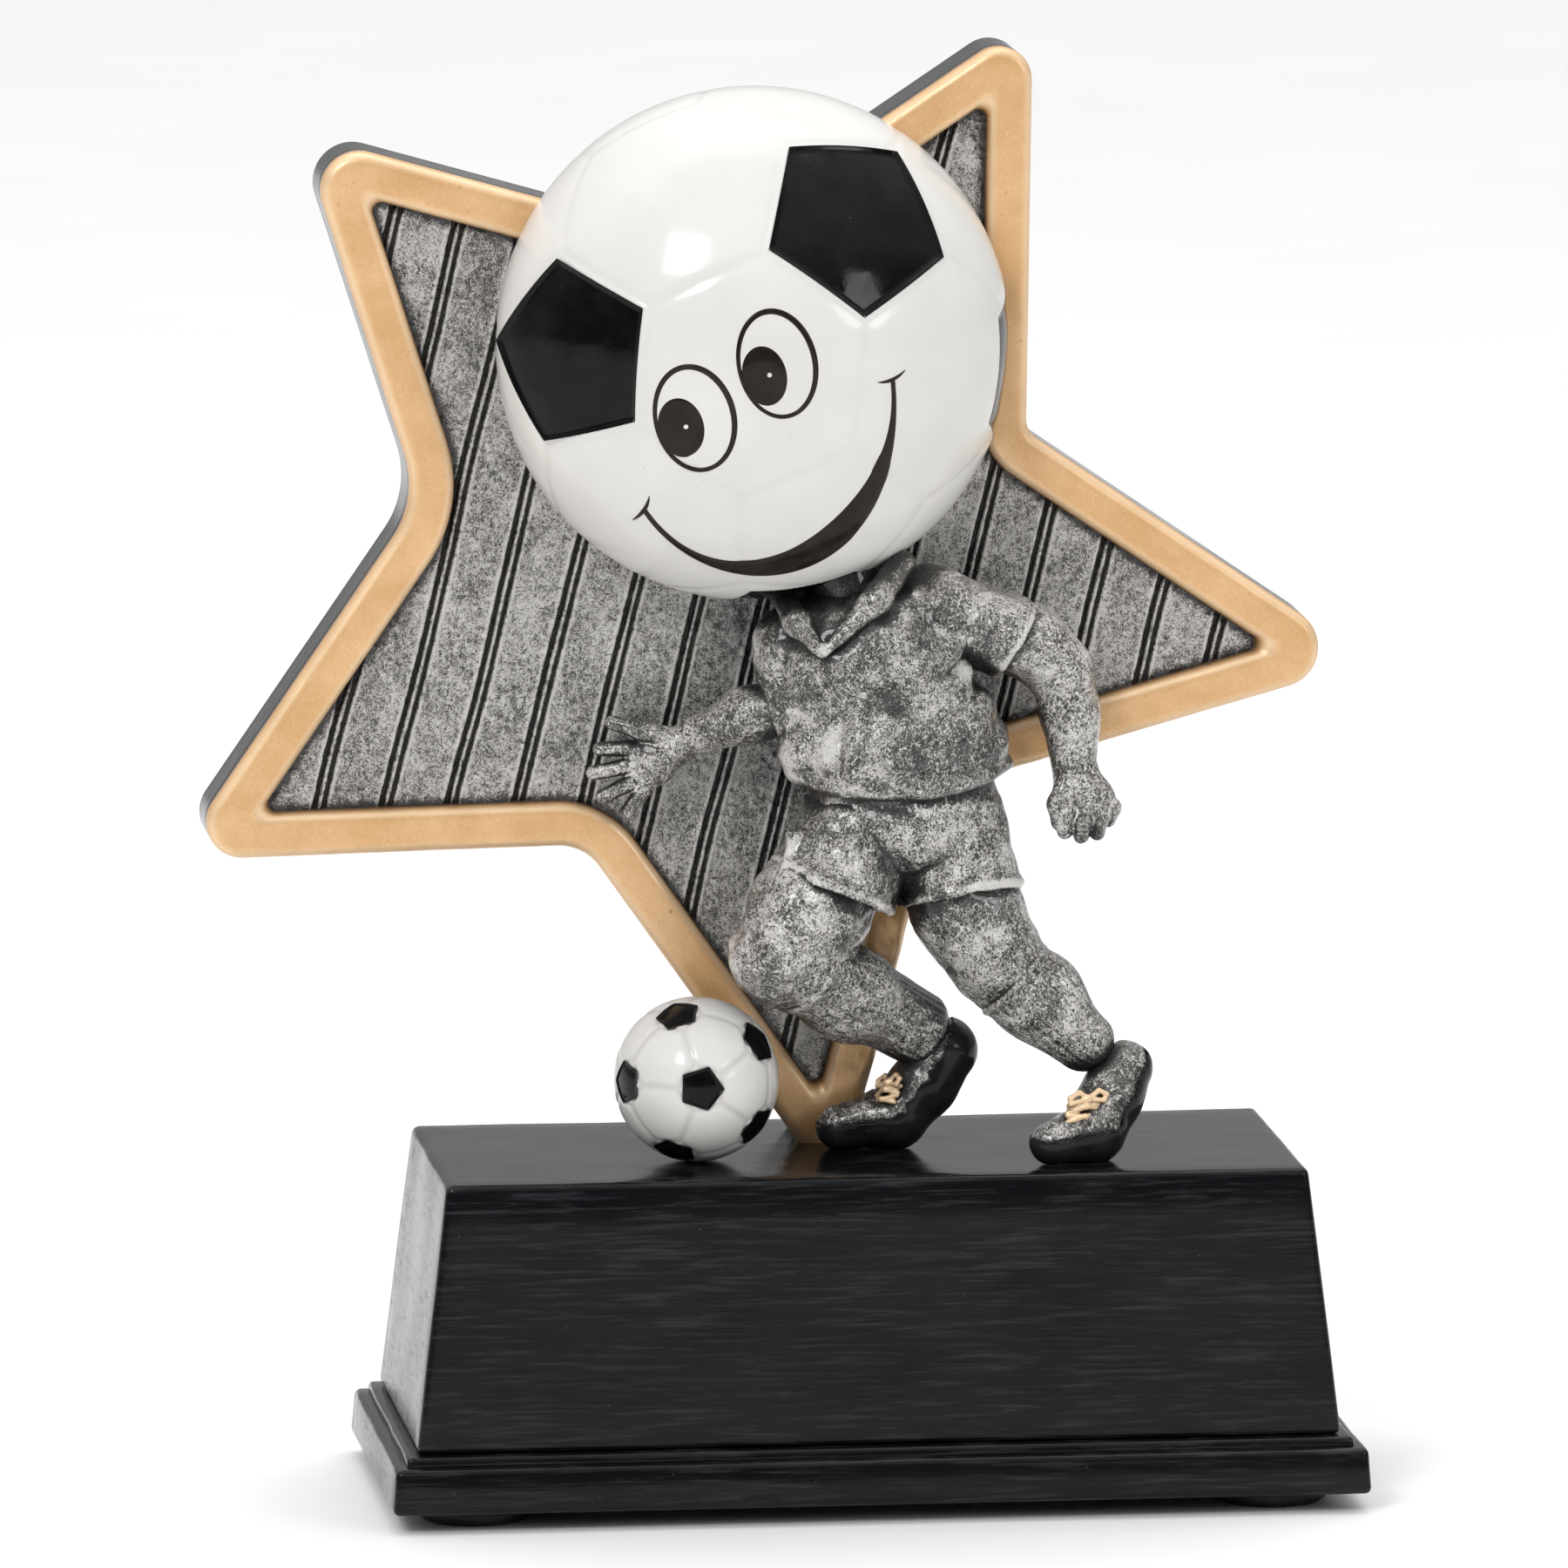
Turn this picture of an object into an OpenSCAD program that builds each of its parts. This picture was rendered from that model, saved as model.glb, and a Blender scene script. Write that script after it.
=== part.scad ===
// Star trophy: a ball-headed player dribbles a football in front of a tilted star.
// Cast resin on a black plinth with four round bumper feet.
// Origin: on the resting plane, under the middle of the whole trophy's outline.
// +X to the viewer's right, -Y to the viewer, +Z up.

/* [Plinth] */
// Width of the skirt round the plinth's foot
skirt_w = 82.5; // [80:0.5:88]
// Depth of the skirt
skirt_d = 37.8; // [37.8:0.1:44]
// Height of the skirt
skirt_h = 3.9; // [3:0.1:5]
// Height of the ledge on the skirt
ledge_h = 0.8; // [0.5:0.1:1.2]
// Width of the ledge all round the block
ledge_w = 1; // [0.6:0.1:1.4]
// Width of the block where it stands on the ledge
block_w = 78; // [75:0.1:79]
// Depth of the block where it stands on the ledge
block_d = 33.1; // [32:0.1:34]
// How far each end of the block leans in
block_lean_x = 2.7; // [1:0.1:4]
// How far the block's front and back lean in
block_lean_y = 1.55; // [0.5:0.05:1.8]
// Height of the block
block_h = 22.5; // [22:0.1:26]
// Diameter of a bumper foot
foot_d = 9.6; // [8:0.1:11]
// Height of a bumper foot
foot_h = 1.6; // [1:0.1:2]

/* [Star] */
// Thickness of the whole star
star_t = 9; // [7:0.1:10]
// Width of the raised border
border_w = 3.8; // [3:0.1:4.5]
// Height of the border over the panel
border_rise = 1.5; // [0.8:0.1:2]
// Thickness of the panel
panel_t = 1.5; // [1:0.1:2]
// Distance between neighbouring grooves
groove_pitch = 5.44; // [4:0.1:8]
// Width of a groove
groove_w = 0.9; // [0.5:0.1:1.2]
// Lean of the grooves from upright
groove_lean = 13.8; // [0:0.1:20]

/* [Ball head] */
// Half of the head's width
head_r = 21.4; // [20:0.1:22]
// Half of the head's depth
head_half_d = 17.5; // [16:0.1:18]
// Radius of the curve across the face
face_r = 25.6; // [24:0.1:30]
// Corner radius of a head patch, centre to corner
head_patch_r = 8.2; // [5:0.1:8.5]

/* [Small ball] */
// Radius of the small ball
ball_r = 6.95; // [6:0.05:7]
// Corner radius of its patches, centre to corner
ball_patch_r = 1.85; // [1:0.05:2.2]

/* [Hidden] */
$fn = 48;
hull_fn = 24;
head_fn = 120;

resin_black = "#1d1e20";
antique_silver = "#7d7d7b";
antique_gold = "#dcae74";
ball_white = "#e6e5e1";
patch_black = "#141414";

ledge_top = foot_h + skirt_h + ledge_h;
base_top = ledge_top + block_h;
foot_inset = 7.6;

// Star corners in the star's plane: [x, z, corner radius], clockwise from top left,
// measured from the middle of the plinth.
STAR = [
  [-46.5, 115, 3.3], [-12.7, 105.4, 4], [15.2, 124, 2.8], [14.7, 89, 2],
  [44.2, 68.9, 3.4], [7.5, 58.7, 3.5], [-1.2, 23.8, 2], [-22.8, 54.5, 4.4],
  [-57.4, 53.8, 3], [-36.6, 84, 8]
];
star_front = 2;
star_back = star_front + star_t;
panel_front = star_front + border_rise;
panel_back = panel_front + panel_t;

// The outline reaches further left than right: this shift centres it on the origin.
star_left = tip_left(8);
shift_x = (-star_left - skirt_w / 2) / 2;

head_c = [-9.5, -17 + head_half_d, 97.1];
round_steps = 8;
patch_sink = 0.15;
patch_t = 0.7;
paint_t = 0.12;
ball_c = [-14.2, -5, 35.7];

// Player's joints: [x, y, z]
shoulder_l = [-6.3, -3.5, 72];
elbow_l = [-6.6, -3, 66.9];
wrist_l = [-13.6, -0.4, 64.2];
palm_l = [-16.8, 1.7, 62.1];
shoulder_r = [7, -3.2, 74.3];
sleeve_end_r = [12.3, -3, 72.4];
elbow_r = [16.9, -3, 69.4];
wrist_r = [17.9, -4, 61.6];
palm_r = [18.3, -4.4, 59.2];
thigh_f = [-2.6, -5.3, 53];
knee_f = [-7.4, -7.6, 46.5];
sock_top_f = [-5.4, -6.6, 45.3];
ankle_f = [4.6, -1.2, 39.2];
thigh_r = [7.8, -4.1, 52.8];
knee_r = [11, -4.8, 45.6];
sock_top_r = [12.6, -5, 43.6];
ankle_r = [18.4, -5.8, 38.4];

// ---------- corner geometry of a rounded outline ----------

function unit(v) = v / norm(v);
function at(points, i) = let (p = points[(i + len(points)) % len(points)]) [p[0], p[1]];
function towards(points, i, j) = unit(at(points, j) - at(points, i));
function cross2(a, b) = a[0] * b[1] - a[1] * b[0];
// Half of the angle between the two edges that meet at corner i
function half_angle(points, i) =
  acos(towards(points, i, i - 1) * towards(points, i, i + 1)) / 2;
function is_outer(points, i) =
  cross2(towards(points, i - 1, i), towards(points, i, i + 1)) < 0;
// Distance along an edge from the corner to where its round starts
function tangent_run(points, i) = points[i][2] / tan(half_angle(points, i));
function round_centre(points, i) = at(points, i)
  + unit(towards(points, i, i - 1) + towards(points, i, i + 1))
  * points[i][2] / sin(half_angle(points, i));
function tip_left(i) = round_centre(STAR, i)[0] - STAR[i][2];
// The same outline moved in by d, with its own corner radii
function inset(points, d, radius) = [
  for (i = [0:len(points) - 1])
    let (
      out = is_outer(points, i) ? 1 : -1,
      along = unit(towards(points, i, i - 1) + towards(points, i, i + 1)),
      c = at(points, i) + out * along * d / sin(half_angle(points, i))
    )
    [c[0], c[1], is_outer(points, i) ? radius : points[i][2] + d]
];

// Points along the round at corner i, from the edge before it to the edge after it
function round_points(points, i) =
  let (
    c = round_centre(points, i),
    start = at(points, i) + towards(points, i, i - 1) * tangent_run(points, i) - c,
    turn = (180 - 2 * half_angle(points, i)) * (is_outer(points, i) ? -1 : 1)
  )
  [for (k = [0:round_steps]) turned(start, turn * k / round_steps) + c];
function turned(v, a) = [v[0] * cos(a) - v[1] * sin(a), v[0] * sin(a) + v[1] * cos(a)];

module rounded_outline(points) {
  polygon([for (i = [0:len(points) - 1]) each round_points(points, i)]);
}

// A plate in the XZ plane from y0 back to y1
module upright(y0, y1) {
  translate([0, y1, 0]) rotate([90, 0, 0]) linear_extrude(height = y1 - y0) children();
}

module centred() { translate([shift_x, 0, 0]) children(); }

// ---------- plinth ----------

// Tapered block: a front-view trapezium crossed with a side-view one
module taper(w, d, h, lean_x, lean_y, edge) {
  intersection() {
    upright(-d / 2, d / 2) polygon(trapezium(w, h, lean_x, edge));
    rotate([90, 0, 90]) translate([0, 0, -w / 2])
      linear_extrude(height = w) polygon(trapezium(d, h, lean_y, edge));
  }
}

function trapezium(w, h, lean, edge) = [
  [-w / 2, 0], [w / 2, 0], [w / 2 - lean, h - edge], [w / 2 - lean - edge, h],
  [-w / 2 + lean + edge, h], [-w / 2 + lean, h - edge]
];

// Block with a socket in its top for the star's lowest point
module base_block() {
  color(resin_black) centred() difference() {
    translate([0, 0, ledge_top])
      taper(block_w, block_d, block_h, block_lean_x, block_lean_y, 0.3);
    star_form();
  }
}

// Skirt with a narrow ledge on top, which the block stands on
module base_skirt() {
  ledge_lap = 0.1;
  color(resin_black) centred() {
    translate([0, 0, foot_h]) taper(skirt_w, skirt_d, skirt_h, 0.3, 0.3, 0.4);
    translate([0, 0, foot_h + skirt_h - ledge_lap])
      taper(block_w + 2 * ledge_w, block_d + 2 * ledge_w, ledge_h + ledge_lap, 0.1, 0.1, 0.4);
  }
}

module foot(side_x, side_y) {
  color("#111111") centred()
    translate([side_x * (skirt_w / 2 - foot_inset), side_y * (skirt_d / 2 - foot_inset), 0])
      rotate_extrude() polygon([
        [0, 0], [foot_d / 2 - 0.5, 0], [foot_d / 2, 0.4], [foot_d / 2, foot_h], [0, foot_h]
      ]);
}

module foot_front_left() { foot(-1, -1); }
module foot_front_right() { foot(1, -1); }
module foot_rear_left() { foot(-1, 1); }
module foot_rear_right() { foot(1, 1); }

// ---------- star ----------

module star_form() { upright(star_front, star_back) rounded_outline(STAR); }

module panel_outline() { rounded_outline(inset(STAR, border_w, 0.8)); }

module star_backing() {
  color(resin_black) centred() upright(panel_back, star_back) rounded_outline(STAR);
}

module star_border() {
  color(antique_gold) centred() upright(star_front, panel_back) difference() {
    rounded_outline(STAR);
    panel_outline();
  }
}

// Panel with leaning V grooves
module star_panel() {
  mid = [-8, 72];
  span = 60;
  count = 20;
  color(antique_silver) centred() difference() {
    upright(panel_front, panel_back) panel_outline();
    translate([mid[0], panel_front, mid[1]]) rotate([0, groove_lean, 0])
      for (i = [-count / 2:count / 2])
        translate([i * groove_pitch, 0, 0]) rotate([0, 0, 45])
          cube([groove_w / sqrt(2), groove_w / sqrt(2), 2 * span], center = true);
  }
}

// ---------- ball head ----------

// Half outline of the head, turned about its depth axis: a broad arc over the face
// and the back, and a tighter arc round the rim, meeting smoothly.
module head_profile(grow) {
  drop = face_r - head_half_d;
  rim_r = (head_r ^ 2 + drop ^ 2 - face_r ^ 2) / (2 * (head_r - face_r));
  rim_x = head_r - rim_r;
  meet_x = face_r * rim_x / (face_r - rim_r);
  meet_y = face_r * drop / (face_r - rim_r) - drop;
  intersection() {
    union() {
      translate([rim_x, 0]) circle(rim_r + grow);
      intersection() {
        translate([0, -drop]) circle(face_r + grow);
        translate([0, drop]) circle(face_r + grow);
        translate([0, -head_half_d - 1]) square([meet_x, 2 * head_half_d + 2]);
      }
    }
    translate([0, -2 * head_r]) square([2 * head_r, 4 * head_r]);
  }
}

module head_form(grow) {
  translate(head_c) rotate([90, 0, 0])
    rotate_extrude($fn = head_fn) head_profile(grow, $fn = head_fn);
}

// Everything the head keeps clear of: the star's plate, and what would lie behind it
module behind_head() {
  star_form();
  translate([-60, star_back, 60]) cube([90, 30, 80]);
}

// The two brow patches are aimed from the middle of the face's own curve
brow_ahead = face_r - head_half_d;

// Patches: [turn about Z from the front, tilt up, spin, start behind the head's middle].
// Two on the brow, one on the right-hand rim, one under the chin, one on the back.
HEAD_PATCHES = [
  [-39.5, 1.5, 32, brow_ahead], [20.5, 28, 48, brow_ahead], [89.5, -5, 0, 0],
  [78, -84.5, 60, 0], [180, 62, 0, 0]
];

module head_patch_prisms(r) {
  for (p = HEAD_PATCHES)
    translate(head_c + [0, p[3], 0]) rotate([0, 0, p[0]]) rotate([90 - p[1], 0, 0])
      rotate([0, 0, p[2]]) cylinder(r = r, h = 40, $fn = 5);
}

module head_ball() {
  color(ball_white) centred() difference() {
    head_form(0);
    behind_head();
    difference() {
      head_patch_prisms(head_patch_r);
      head_form(-patch_t);
    }
  }
}

module head_patches() {
  color(patch_black) centred() difference() {
    intersection() {
      head_form(-patch_sink);
      head_patch_prisms(head_patch_r);
    }
    head_form(-patch_t);
    behind_head();
  }
}

// A film of paint on the face, cut to the flat shape given
module face_paint() {
  color(patch_black) centred() difference() {
    intersection() {
      head_form(paint_t);
      translate(head_c) upright(-head_half_d - 1, -head_half_d / 3) children();
    }
    head_form(0);
  }
}

module oval(rx, ry) { polygon([for (a = [0:10:350]) [rx * cos(a), ry * sin(a)]]); }

EYES = [[-6.1, -4.2], [0.6, 0.5]];
PUPILS = [[-7.2, -4.9], [-0.4, -0.5]];
eye_tilt = 13;
smile_c = [-0.6, -3.6];
smile_r = [11, 14];

module eye_outlines() {
  face_paint() for (e = EYES) translate(e) rotate(eye_tilt) difference() {
    oval(3.4, 4.7);
    oval(2.9, 4.2);
  }
}

module pupils() {
  face_paint() for (e = PUPILS) translate(e) rotate(eye_tilt) oval(1.9, 2.6);
}

// Crescent smile, thickest right of its middle, with a tick across each end
module smile() {
  face_paint() {
    polygon(concat(
      [for (a = [225:7:370]) smile_point(a, smile_width(a) / 2)],
      [for (a = [370:-7:225]) smile_point(a, -smile_width(a) / 2)]
    ));
    for (tick = [[225, 55], [370, 35]])
      translate(smile_point(tick[0], 0)) rotate(tick[1])
        square([2.6, 0.5], center = true);
  }
}

function smile_width(a) = 0.5 + 2.3 * pow(max(0, sin((a - 225) * 180 / 145)), 3);
function smile_point(a, out) =
  smile_c + [(smile_r[0] + out) * cos(a), (smile_r[1] + out) * sin(a)];

// ---------- player ----------

// Tapered round limb between two points
module limb(a, b, ra, rb, facets = hull_fn) {
  hull() {
    translate(a) sphere(ra, $fn = facets);
    translate(b) sphere(rb, $fn = facets);
  }
}

module blob(c, r) { translate(c) sphere(r, $fn = hull_fn); }

module player() {
  color(antique_silver) centred() children();
}

// The star's border and backing, without the hollow in front of its panel
module star_solid() {
  difference() {
    star_form();
    upright(star_front - 1, panel_front) panel_outline();
  }
}

// The body is cast against the star: its back reaches the panel
module jersey_form() {
  hull() {
    blob([-4.2, -3.2, 71.2], 4);
    blob([5.6, -3, 73.2], 4.6);
    blob([-0.8, -3.8, 61.5], 4.4);
    blob([7.9, -3.5, 61.2], 4.4);
    blob([2.2, -4.6, 66], 6);
    blob([-2.4, 0.4, 69.6], 4.2);
    blob([5.2, 0.4, 71.2], 4.2);
  }
}

module shorts_form() {
  hull() {
    blob([-1, -3.6, 56], 5);
    blob([7.9, -3.4, 56], 5);
    blob([0.6, -3.6, 60], 4.6);
    blob([6.8, -3.4, 60], 4.6);
    blob([0.4, -1, 58], 4.6);
    blob([7, -1, 58], 4.6);
  }
}

module shorts_leg_front_form() { limb([-0.6, -4, 56.4], [-2.9, -5.4, 54.4], 4.9, 5.3); }

module shorts_leg_rear_form() { limb([7.2, -3.8, 56.4], [8, -4.1, 54.2], 4.9, 5.2); }

// Each leg of the shorts ends on a hem plane that leans with it
module above_hem(p, lean) {
  difference() {
    children();
    translate(p) rotate([0, lean, 0]) translate([-15, -15, -20]) cube([30, 30, 20]);
  }
}

module shorts_leg_front_cut() { above_hem([-3.1, -5.5, 51.6], 20) shorts_leg_front_form(); }

module shorts_leg_rear_cut() { above_hem([8.3, -4.1, 51.3], -8) shorts_leg_rear_form(); }

module neck_form() { limb([0.6, -3.2, 72], [-1.6, -2.6, 79], 3.6, 3.6); }

module neck() {
  player() difference() {
    neck_form();
    jersey_form();
    head_form(0);
  }
}

// Collar: two rolled flaps that meet low at the front
module collar() {
  player() difference() {
    union() {
      limb([-6, -4.4, 75.6], [-4.2, -8.4, 72.6], 1.3, 0.8, 16);
      limb([2.8, -5, 78.6], [-4.2, -8.4, 72.6], 1.4, 0.8, 16);
      limb([-6, -4.4, 75.6], [-3.4, -0.2, 76.4], 1.3, 1.3, 16);
      limb([2.8, -5, 78.6], [2.6, -0.2, 78.4], 1.4, 1.3, 16);
    }
    neck_form();
    jersey_form();
    head_form(0);
  }
}

module jersey() {
  player() difference() {
    jersey_form();
    star_solid();
    shorts_form();
  }
}

module sleeve_left_form() { limb(shoulder_l, elbow_l, 3, 2.6); }
module sleeve_right_form() { limb(shoulder_r, sleeve_end_r, 3.7, 3.4); }

module sleeve_left() {
  player() difference() {
    sleeve_left_form();
    jersey_form();
  }
}

module sleeve_right() {
  player() difference() {
    sleeve_right_form();
    jersey_form();
  }
}

module forearm_left_form() { limb(elbow_l, wrist_l, 2, 1.6); }
module forearm_right_form() { limb(elbow_r, wrist_r, 2.8, 2.1); }

module arm_left() {
  player() difference() {
    forearm_left_form();
    sleeve_left_form();
    jersey_form();
  }
}

module arm_right() {
  player() difference() {
    union() {
      limb(sleeve_end_r, elbow_r, 2.9, 2.8);
      forearm_right_form();
    }
    sleeve_right_form();
  }
}

// Open hand: a thick palm, four fingers and a thumb, each one tapered limb
module hand(wrist, palm, palm_r, tips, finger_r) {
  finger_facets = 12;
  limb(wrist, palm, palm_r * 0.75, palm_r, 20);
  for (tip = tips)
    limb(palm + (tip - palm) * 0.35, tip, finger_r, finger_r * 0.8, finger_facets);
}

// The left palm rests on the star's panel
module hand_left() {
  tips = [
    [-20.6, 1.7, 64.8], [-21.8, 1.6, 61.6], [-21.4, 1.4, 59.7],
    [-20.2, 1.2, 58.3], [-18.4, 0.8, 57.4]
  ];
  player() difference() {
    hand(wrist_l, palm_l, 1.9, tips, 0.8);
    forearm_left_form();
    star_solid();
  }
}

module hand_right() {
  tips = [
    [16.6, -5.6, 57], [17.4, -5.4, 55.6], [18.9, -4.8, 55.2],
    [20.2, -4.2, 55.8], [21.1, -4, 57.6]
  ];
  player() difference() {
    hand(wrist_r, palm_r, 2.3, tips, 0.85);
    forearm_right_form();
  }
}

module shorts() {
  player() difference() {
    shorts_form();
    star_solid();
  }
}

module shorts_leg_front() {
  player() difference() {
    shorts_leg_front_cut();
    shorts_form();
  }
}

module shorts_leg_rear() {
  player() difference() {
    shorts_leg_rear_cut();
    shorts_form();
    shorts_leg_front_form();
  }
}

module thigh_front_form() { limb(thigh_f, knee_f, 4.4, 4.2); }

module thigh_front() {
  player() difference() {
    union() {
      thigh_front_form();
      limb(knee_f, sock_top_f, 4.2, 3.9);
    }
    shorts_form();
    shorts_leg_front_cut();
    sock_front_form();
  }
}

module thigh_rear() {
  player() difference() {
    limb(thigh_r, sock_top_r, 4.3, 3.6);
    shorts_form();
    shorts_leg_rear_cut();
    thigh_front_form();
    sock_rear_form();
  }
}

// Socks start with a flat rim that faces the knee
module sock_form(top, ankle, r_top, r_ankle) {
  d = ankle - top;
  difference() {
    limb(top, ankle, r_top, r_ankle);
    translate(top) rotate([0, acos(d[2] / norm(d)), atan2(d[1], d[0])])
      translate([-8, -8, -10]) cube([16, 16, 10]);
  }
}

module sock_front_form() { sock_form(sock_top_f, ankle_f, 4.1, 2.8); }
module sock_rear_form() { sock_form(sock_top_r, ankle_r, 3.8, 2.6); }

module sock_front() {
  player() difference() {
    sock_front_form();
    shoe_front_form();
  }
}

module sock_rear() {
  player() difference() {
    sock_rear_form();
    shoe_rear_form();
  }
}

// Shoes: a toe box on the plinth and a raised heel
module shoe_front_form() {
  hull() {
    blob([-1.6, -1, 30.8], 1.8);
    blob([3.4, -1, 31.4], 2.6);
  }
  hull() {
    blob([3.4, -1, 31.6], 2.6);
    blob([7.3, -0.6, 37.4], 2.5);
    blob([3.8, -1, 37.2], 2.5);
  }
}

module shoe_rear_form() {
  hull() {
    blob([15.2, -10, 30.8], 1.8);
    blob([19.8, -8, 31.2], 2.4);
  }
  hull() {
    blob([19.8, -8, 31.2], 2.4);
    blob([21.6, -5.4, 36.4], 2.3);
    blob([18.2, -6.6, 36], 2.4);
  }
}

module above_base() {
  translate([-50, -30, 0]) cube([100, 60, base_top]);
}

module shoe_front() {
  player() difference() {
    shoe_front_form();
    sole_front_form();
    above_base();
  }
}

module shoe_rear() {
  player() difference() {
    shoe_rear_form();
    sole_rear_form();
    above_base();
  }
}

// Soles: a flat tread under the toes that turns up to the heel
module sole_front_form() {
  upright(-3.7, 1.8) polygon([
    [-3.6, base_top], [5.6, base_top], [10.4, 37.6], [9.2, 38.2], [4.8, base_top + 1.2],
    [-3.6, base_top + 0.9]
  ]);
}

module sole_rear_form() {
  translate([14, -10.2, 0]) rotate([0, 0, 26]) upright(-2.7, 2.7) polygon([
    [-1.2, base_top], [7.6, base_top], [10.2, 36.4], [9.2, 37], [6.8, base_top + 1.1],
    [-1.2, base_top + 0.9]
  ]);
}

module sole_front() {
  color(patch_black) centred() sole_front_form();
}

module sole_rear() {
  color(patch_black) centred() sole_rear_form();
}

// Laces: short bars across the instep and a loop of bow on each side
module laces(c, across, up, r) {
  lace_facets = 12;
  for (i = [0:2]) limb(c + up * i - across, c + up * i + across, r, r, lace_facets);
  for (side = [-1, 1])
    translate(c + up * 2.4 + across * side) rotate([90, 0, 20])
      rotate_extrude() translate([0.8, 0]) circle(r);
}

module laces_front() {
  color(antique_gold) centred() difference() {
    laces([1.6, -2.4, 33.8], [0.9, -0.6, 0.3], [0.1, 0, 1], 0.3);
    shoe_front_form();
  }
}

module laces_rear() {
  color(antique_gold) centred() difference() {
    laces([17.6, -9.2, 33.4], [1, -0.3, 0.2], [0, 0.2, 1], 0.3);
    shoe_rear_form();
  }
}

// ---------- small ball ----------

ring_lat = atan(0.5);

// Twelve pentagonal prisms, one through each patch of a football
module ball_patch_prisms(r) {
  h = 2 * ball_r;
  translate(ball_c) rotate([-90, -74, 176]) {
    cylinder(r = r, h = h, $fn = 5);
    mirror([0, 0, 1]) cylinder(r = r, h = h, $fn = 5);
    for (i = [0:4]) {
      rotate([0, 90 - ring_lat, 72 * i]) rotate(180) cylinder(r = r, h = h, $fn = 5);
      rotate([0, 90 + ring_lat, 72 * i + 36]) cylinder(r = r, h = h, $fn = 5);
    }
  }
}

module ball_form(grow) { translate(ball_c) sphere(ball_r + grow); }

module small_ball() {
  color(ball_white) centred() difference() {
    ball_form(0);
    difference() {
      ball_patch_prisms(ball_patch_r);
      ball_form(-patch_t);
    }
    above_base();
    star_form();
  }
}

module small_ball_patches() {
  color(patch_black) centred() difference() {
    intersection() {
      ball_form(-patch_sink);
      ball_patch_prisms(ball_patch_r);
    }
    ball_form(-patch_t);
    above_base();
    star_form();
  }
}

base_block();
base_skirt();
foot_front_left();
foot_front_right();
foot_rear_left();
foot_rear_right();
star_backing();
star_border();
star_panel();
head_ball();
head_patches();
eye_outlines();
pupils();
smile();
neck();
jersey();
collar();
sleeve_left();
sleeve_right();
arm_left();
arm_right();
hand_left();
hand_right();
shorts();
shorts_leg_front();
shorts_leg_rear();
thigh_front();
thigh_rear();
sock_front();
sock_rear();
shoe_front();
shoe_rear();
sole_front();
sole_rear();
laces_front();
laces_rear();
small_ball();
small_ball_patches();
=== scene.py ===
import math

import bmesh
import bpy
import numpy as np
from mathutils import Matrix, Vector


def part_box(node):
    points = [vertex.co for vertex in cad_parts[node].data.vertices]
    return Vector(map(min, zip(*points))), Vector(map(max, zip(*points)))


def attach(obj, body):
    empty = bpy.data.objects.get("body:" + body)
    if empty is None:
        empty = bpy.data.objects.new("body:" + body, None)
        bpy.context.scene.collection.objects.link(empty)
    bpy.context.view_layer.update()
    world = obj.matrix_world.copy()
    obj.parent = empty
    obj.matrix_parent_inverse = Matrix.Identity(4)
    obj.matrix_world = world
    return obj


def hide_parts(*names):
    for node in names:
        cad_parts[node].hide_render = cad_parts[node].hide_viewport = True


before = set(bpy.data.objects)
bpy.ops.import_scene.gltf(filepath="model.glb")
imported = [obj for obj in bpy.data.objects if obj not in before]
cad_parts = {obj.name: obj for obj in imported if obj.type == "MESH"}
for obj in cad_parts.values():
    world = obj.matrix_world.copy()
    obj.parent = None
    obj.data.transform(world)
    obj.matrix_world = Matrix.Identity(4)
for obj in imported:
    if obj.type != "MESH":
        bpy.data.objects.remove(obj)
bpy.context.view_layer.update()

import openvdb
from mathutils import Vector

BODY = "root"
MM = 0.001

# Everything below is worked out in millimetres from the middle of the plinth.


def cad_box(node):
    """Lowest and highest corner of a CAD node, in millimetres from the plinth's middle."""
    lo, hi = (np.array(corner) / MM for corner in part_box(node))
    shift = np.array([PLINTH_X, 0, 0])
    return lo - shift, hi - shift


PLINTH_X = sum(corner[0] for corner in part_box("base_block")) / 2 / MM
BLOCK_LO, BLOCK_HI = cad_box("base_block")
SKIRT_LO, SKIRT_HI = cad_box("base_skirt")
BORDER_LO, BORDER_HI = cad_box("star_border")
PANEL_LO, PANEL_HI = cad_box("star_panel")
BALL_LO, BALL_HI = cad_box("small_ball")
HEAD_LO, HEAD_HI = cad_box("head_ball")
BASE_TOP = BLOCK_HI[2]
STAR_FRONT = BORDER_LO[1]
PANEL_FRONT = PANEL_LO[1]
STAR_BACK = cad_box("star_backing")[1][1]

# ---------------- small helpers


def unit(v):
    v = np.asarray(v, float)
    return v / np.linalg.norm(v, axis=-1, keepdims=True)


def wave(p, size, seed):
    """Smooth random field between -1 and 1 at points p, with bumps of the given size."""
    table = np.random.default_rng(seed).uniform(-1, 1, (32, 32, 32))
    q = p / size
    cell = np.floor(q).astype(int)
    f = q - cell
    return blend_corners(table, cell, f * f * (3 - 2 * f))


def blend_corners(table, cell, f):
    """Table values at the eight corners of each cell, weighted by the place f in it."""
    total = 0
    for corner in range(8):
        step = np.array([corner & 1, corner >> 1 & 1, corner >> 2 & 1])
        weight = np.prod(np.where(step, f, 1 - f), axis=-1)
        i = (cell + step) % table.shape
        total = total + weight * table[i[..., 0], i[..., 1], i[..., 2]]
    return total


def smooth_step(x):
    x = np.clip(x, 0, 1)
    return x * x * (3 - 2 * x)


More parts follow.
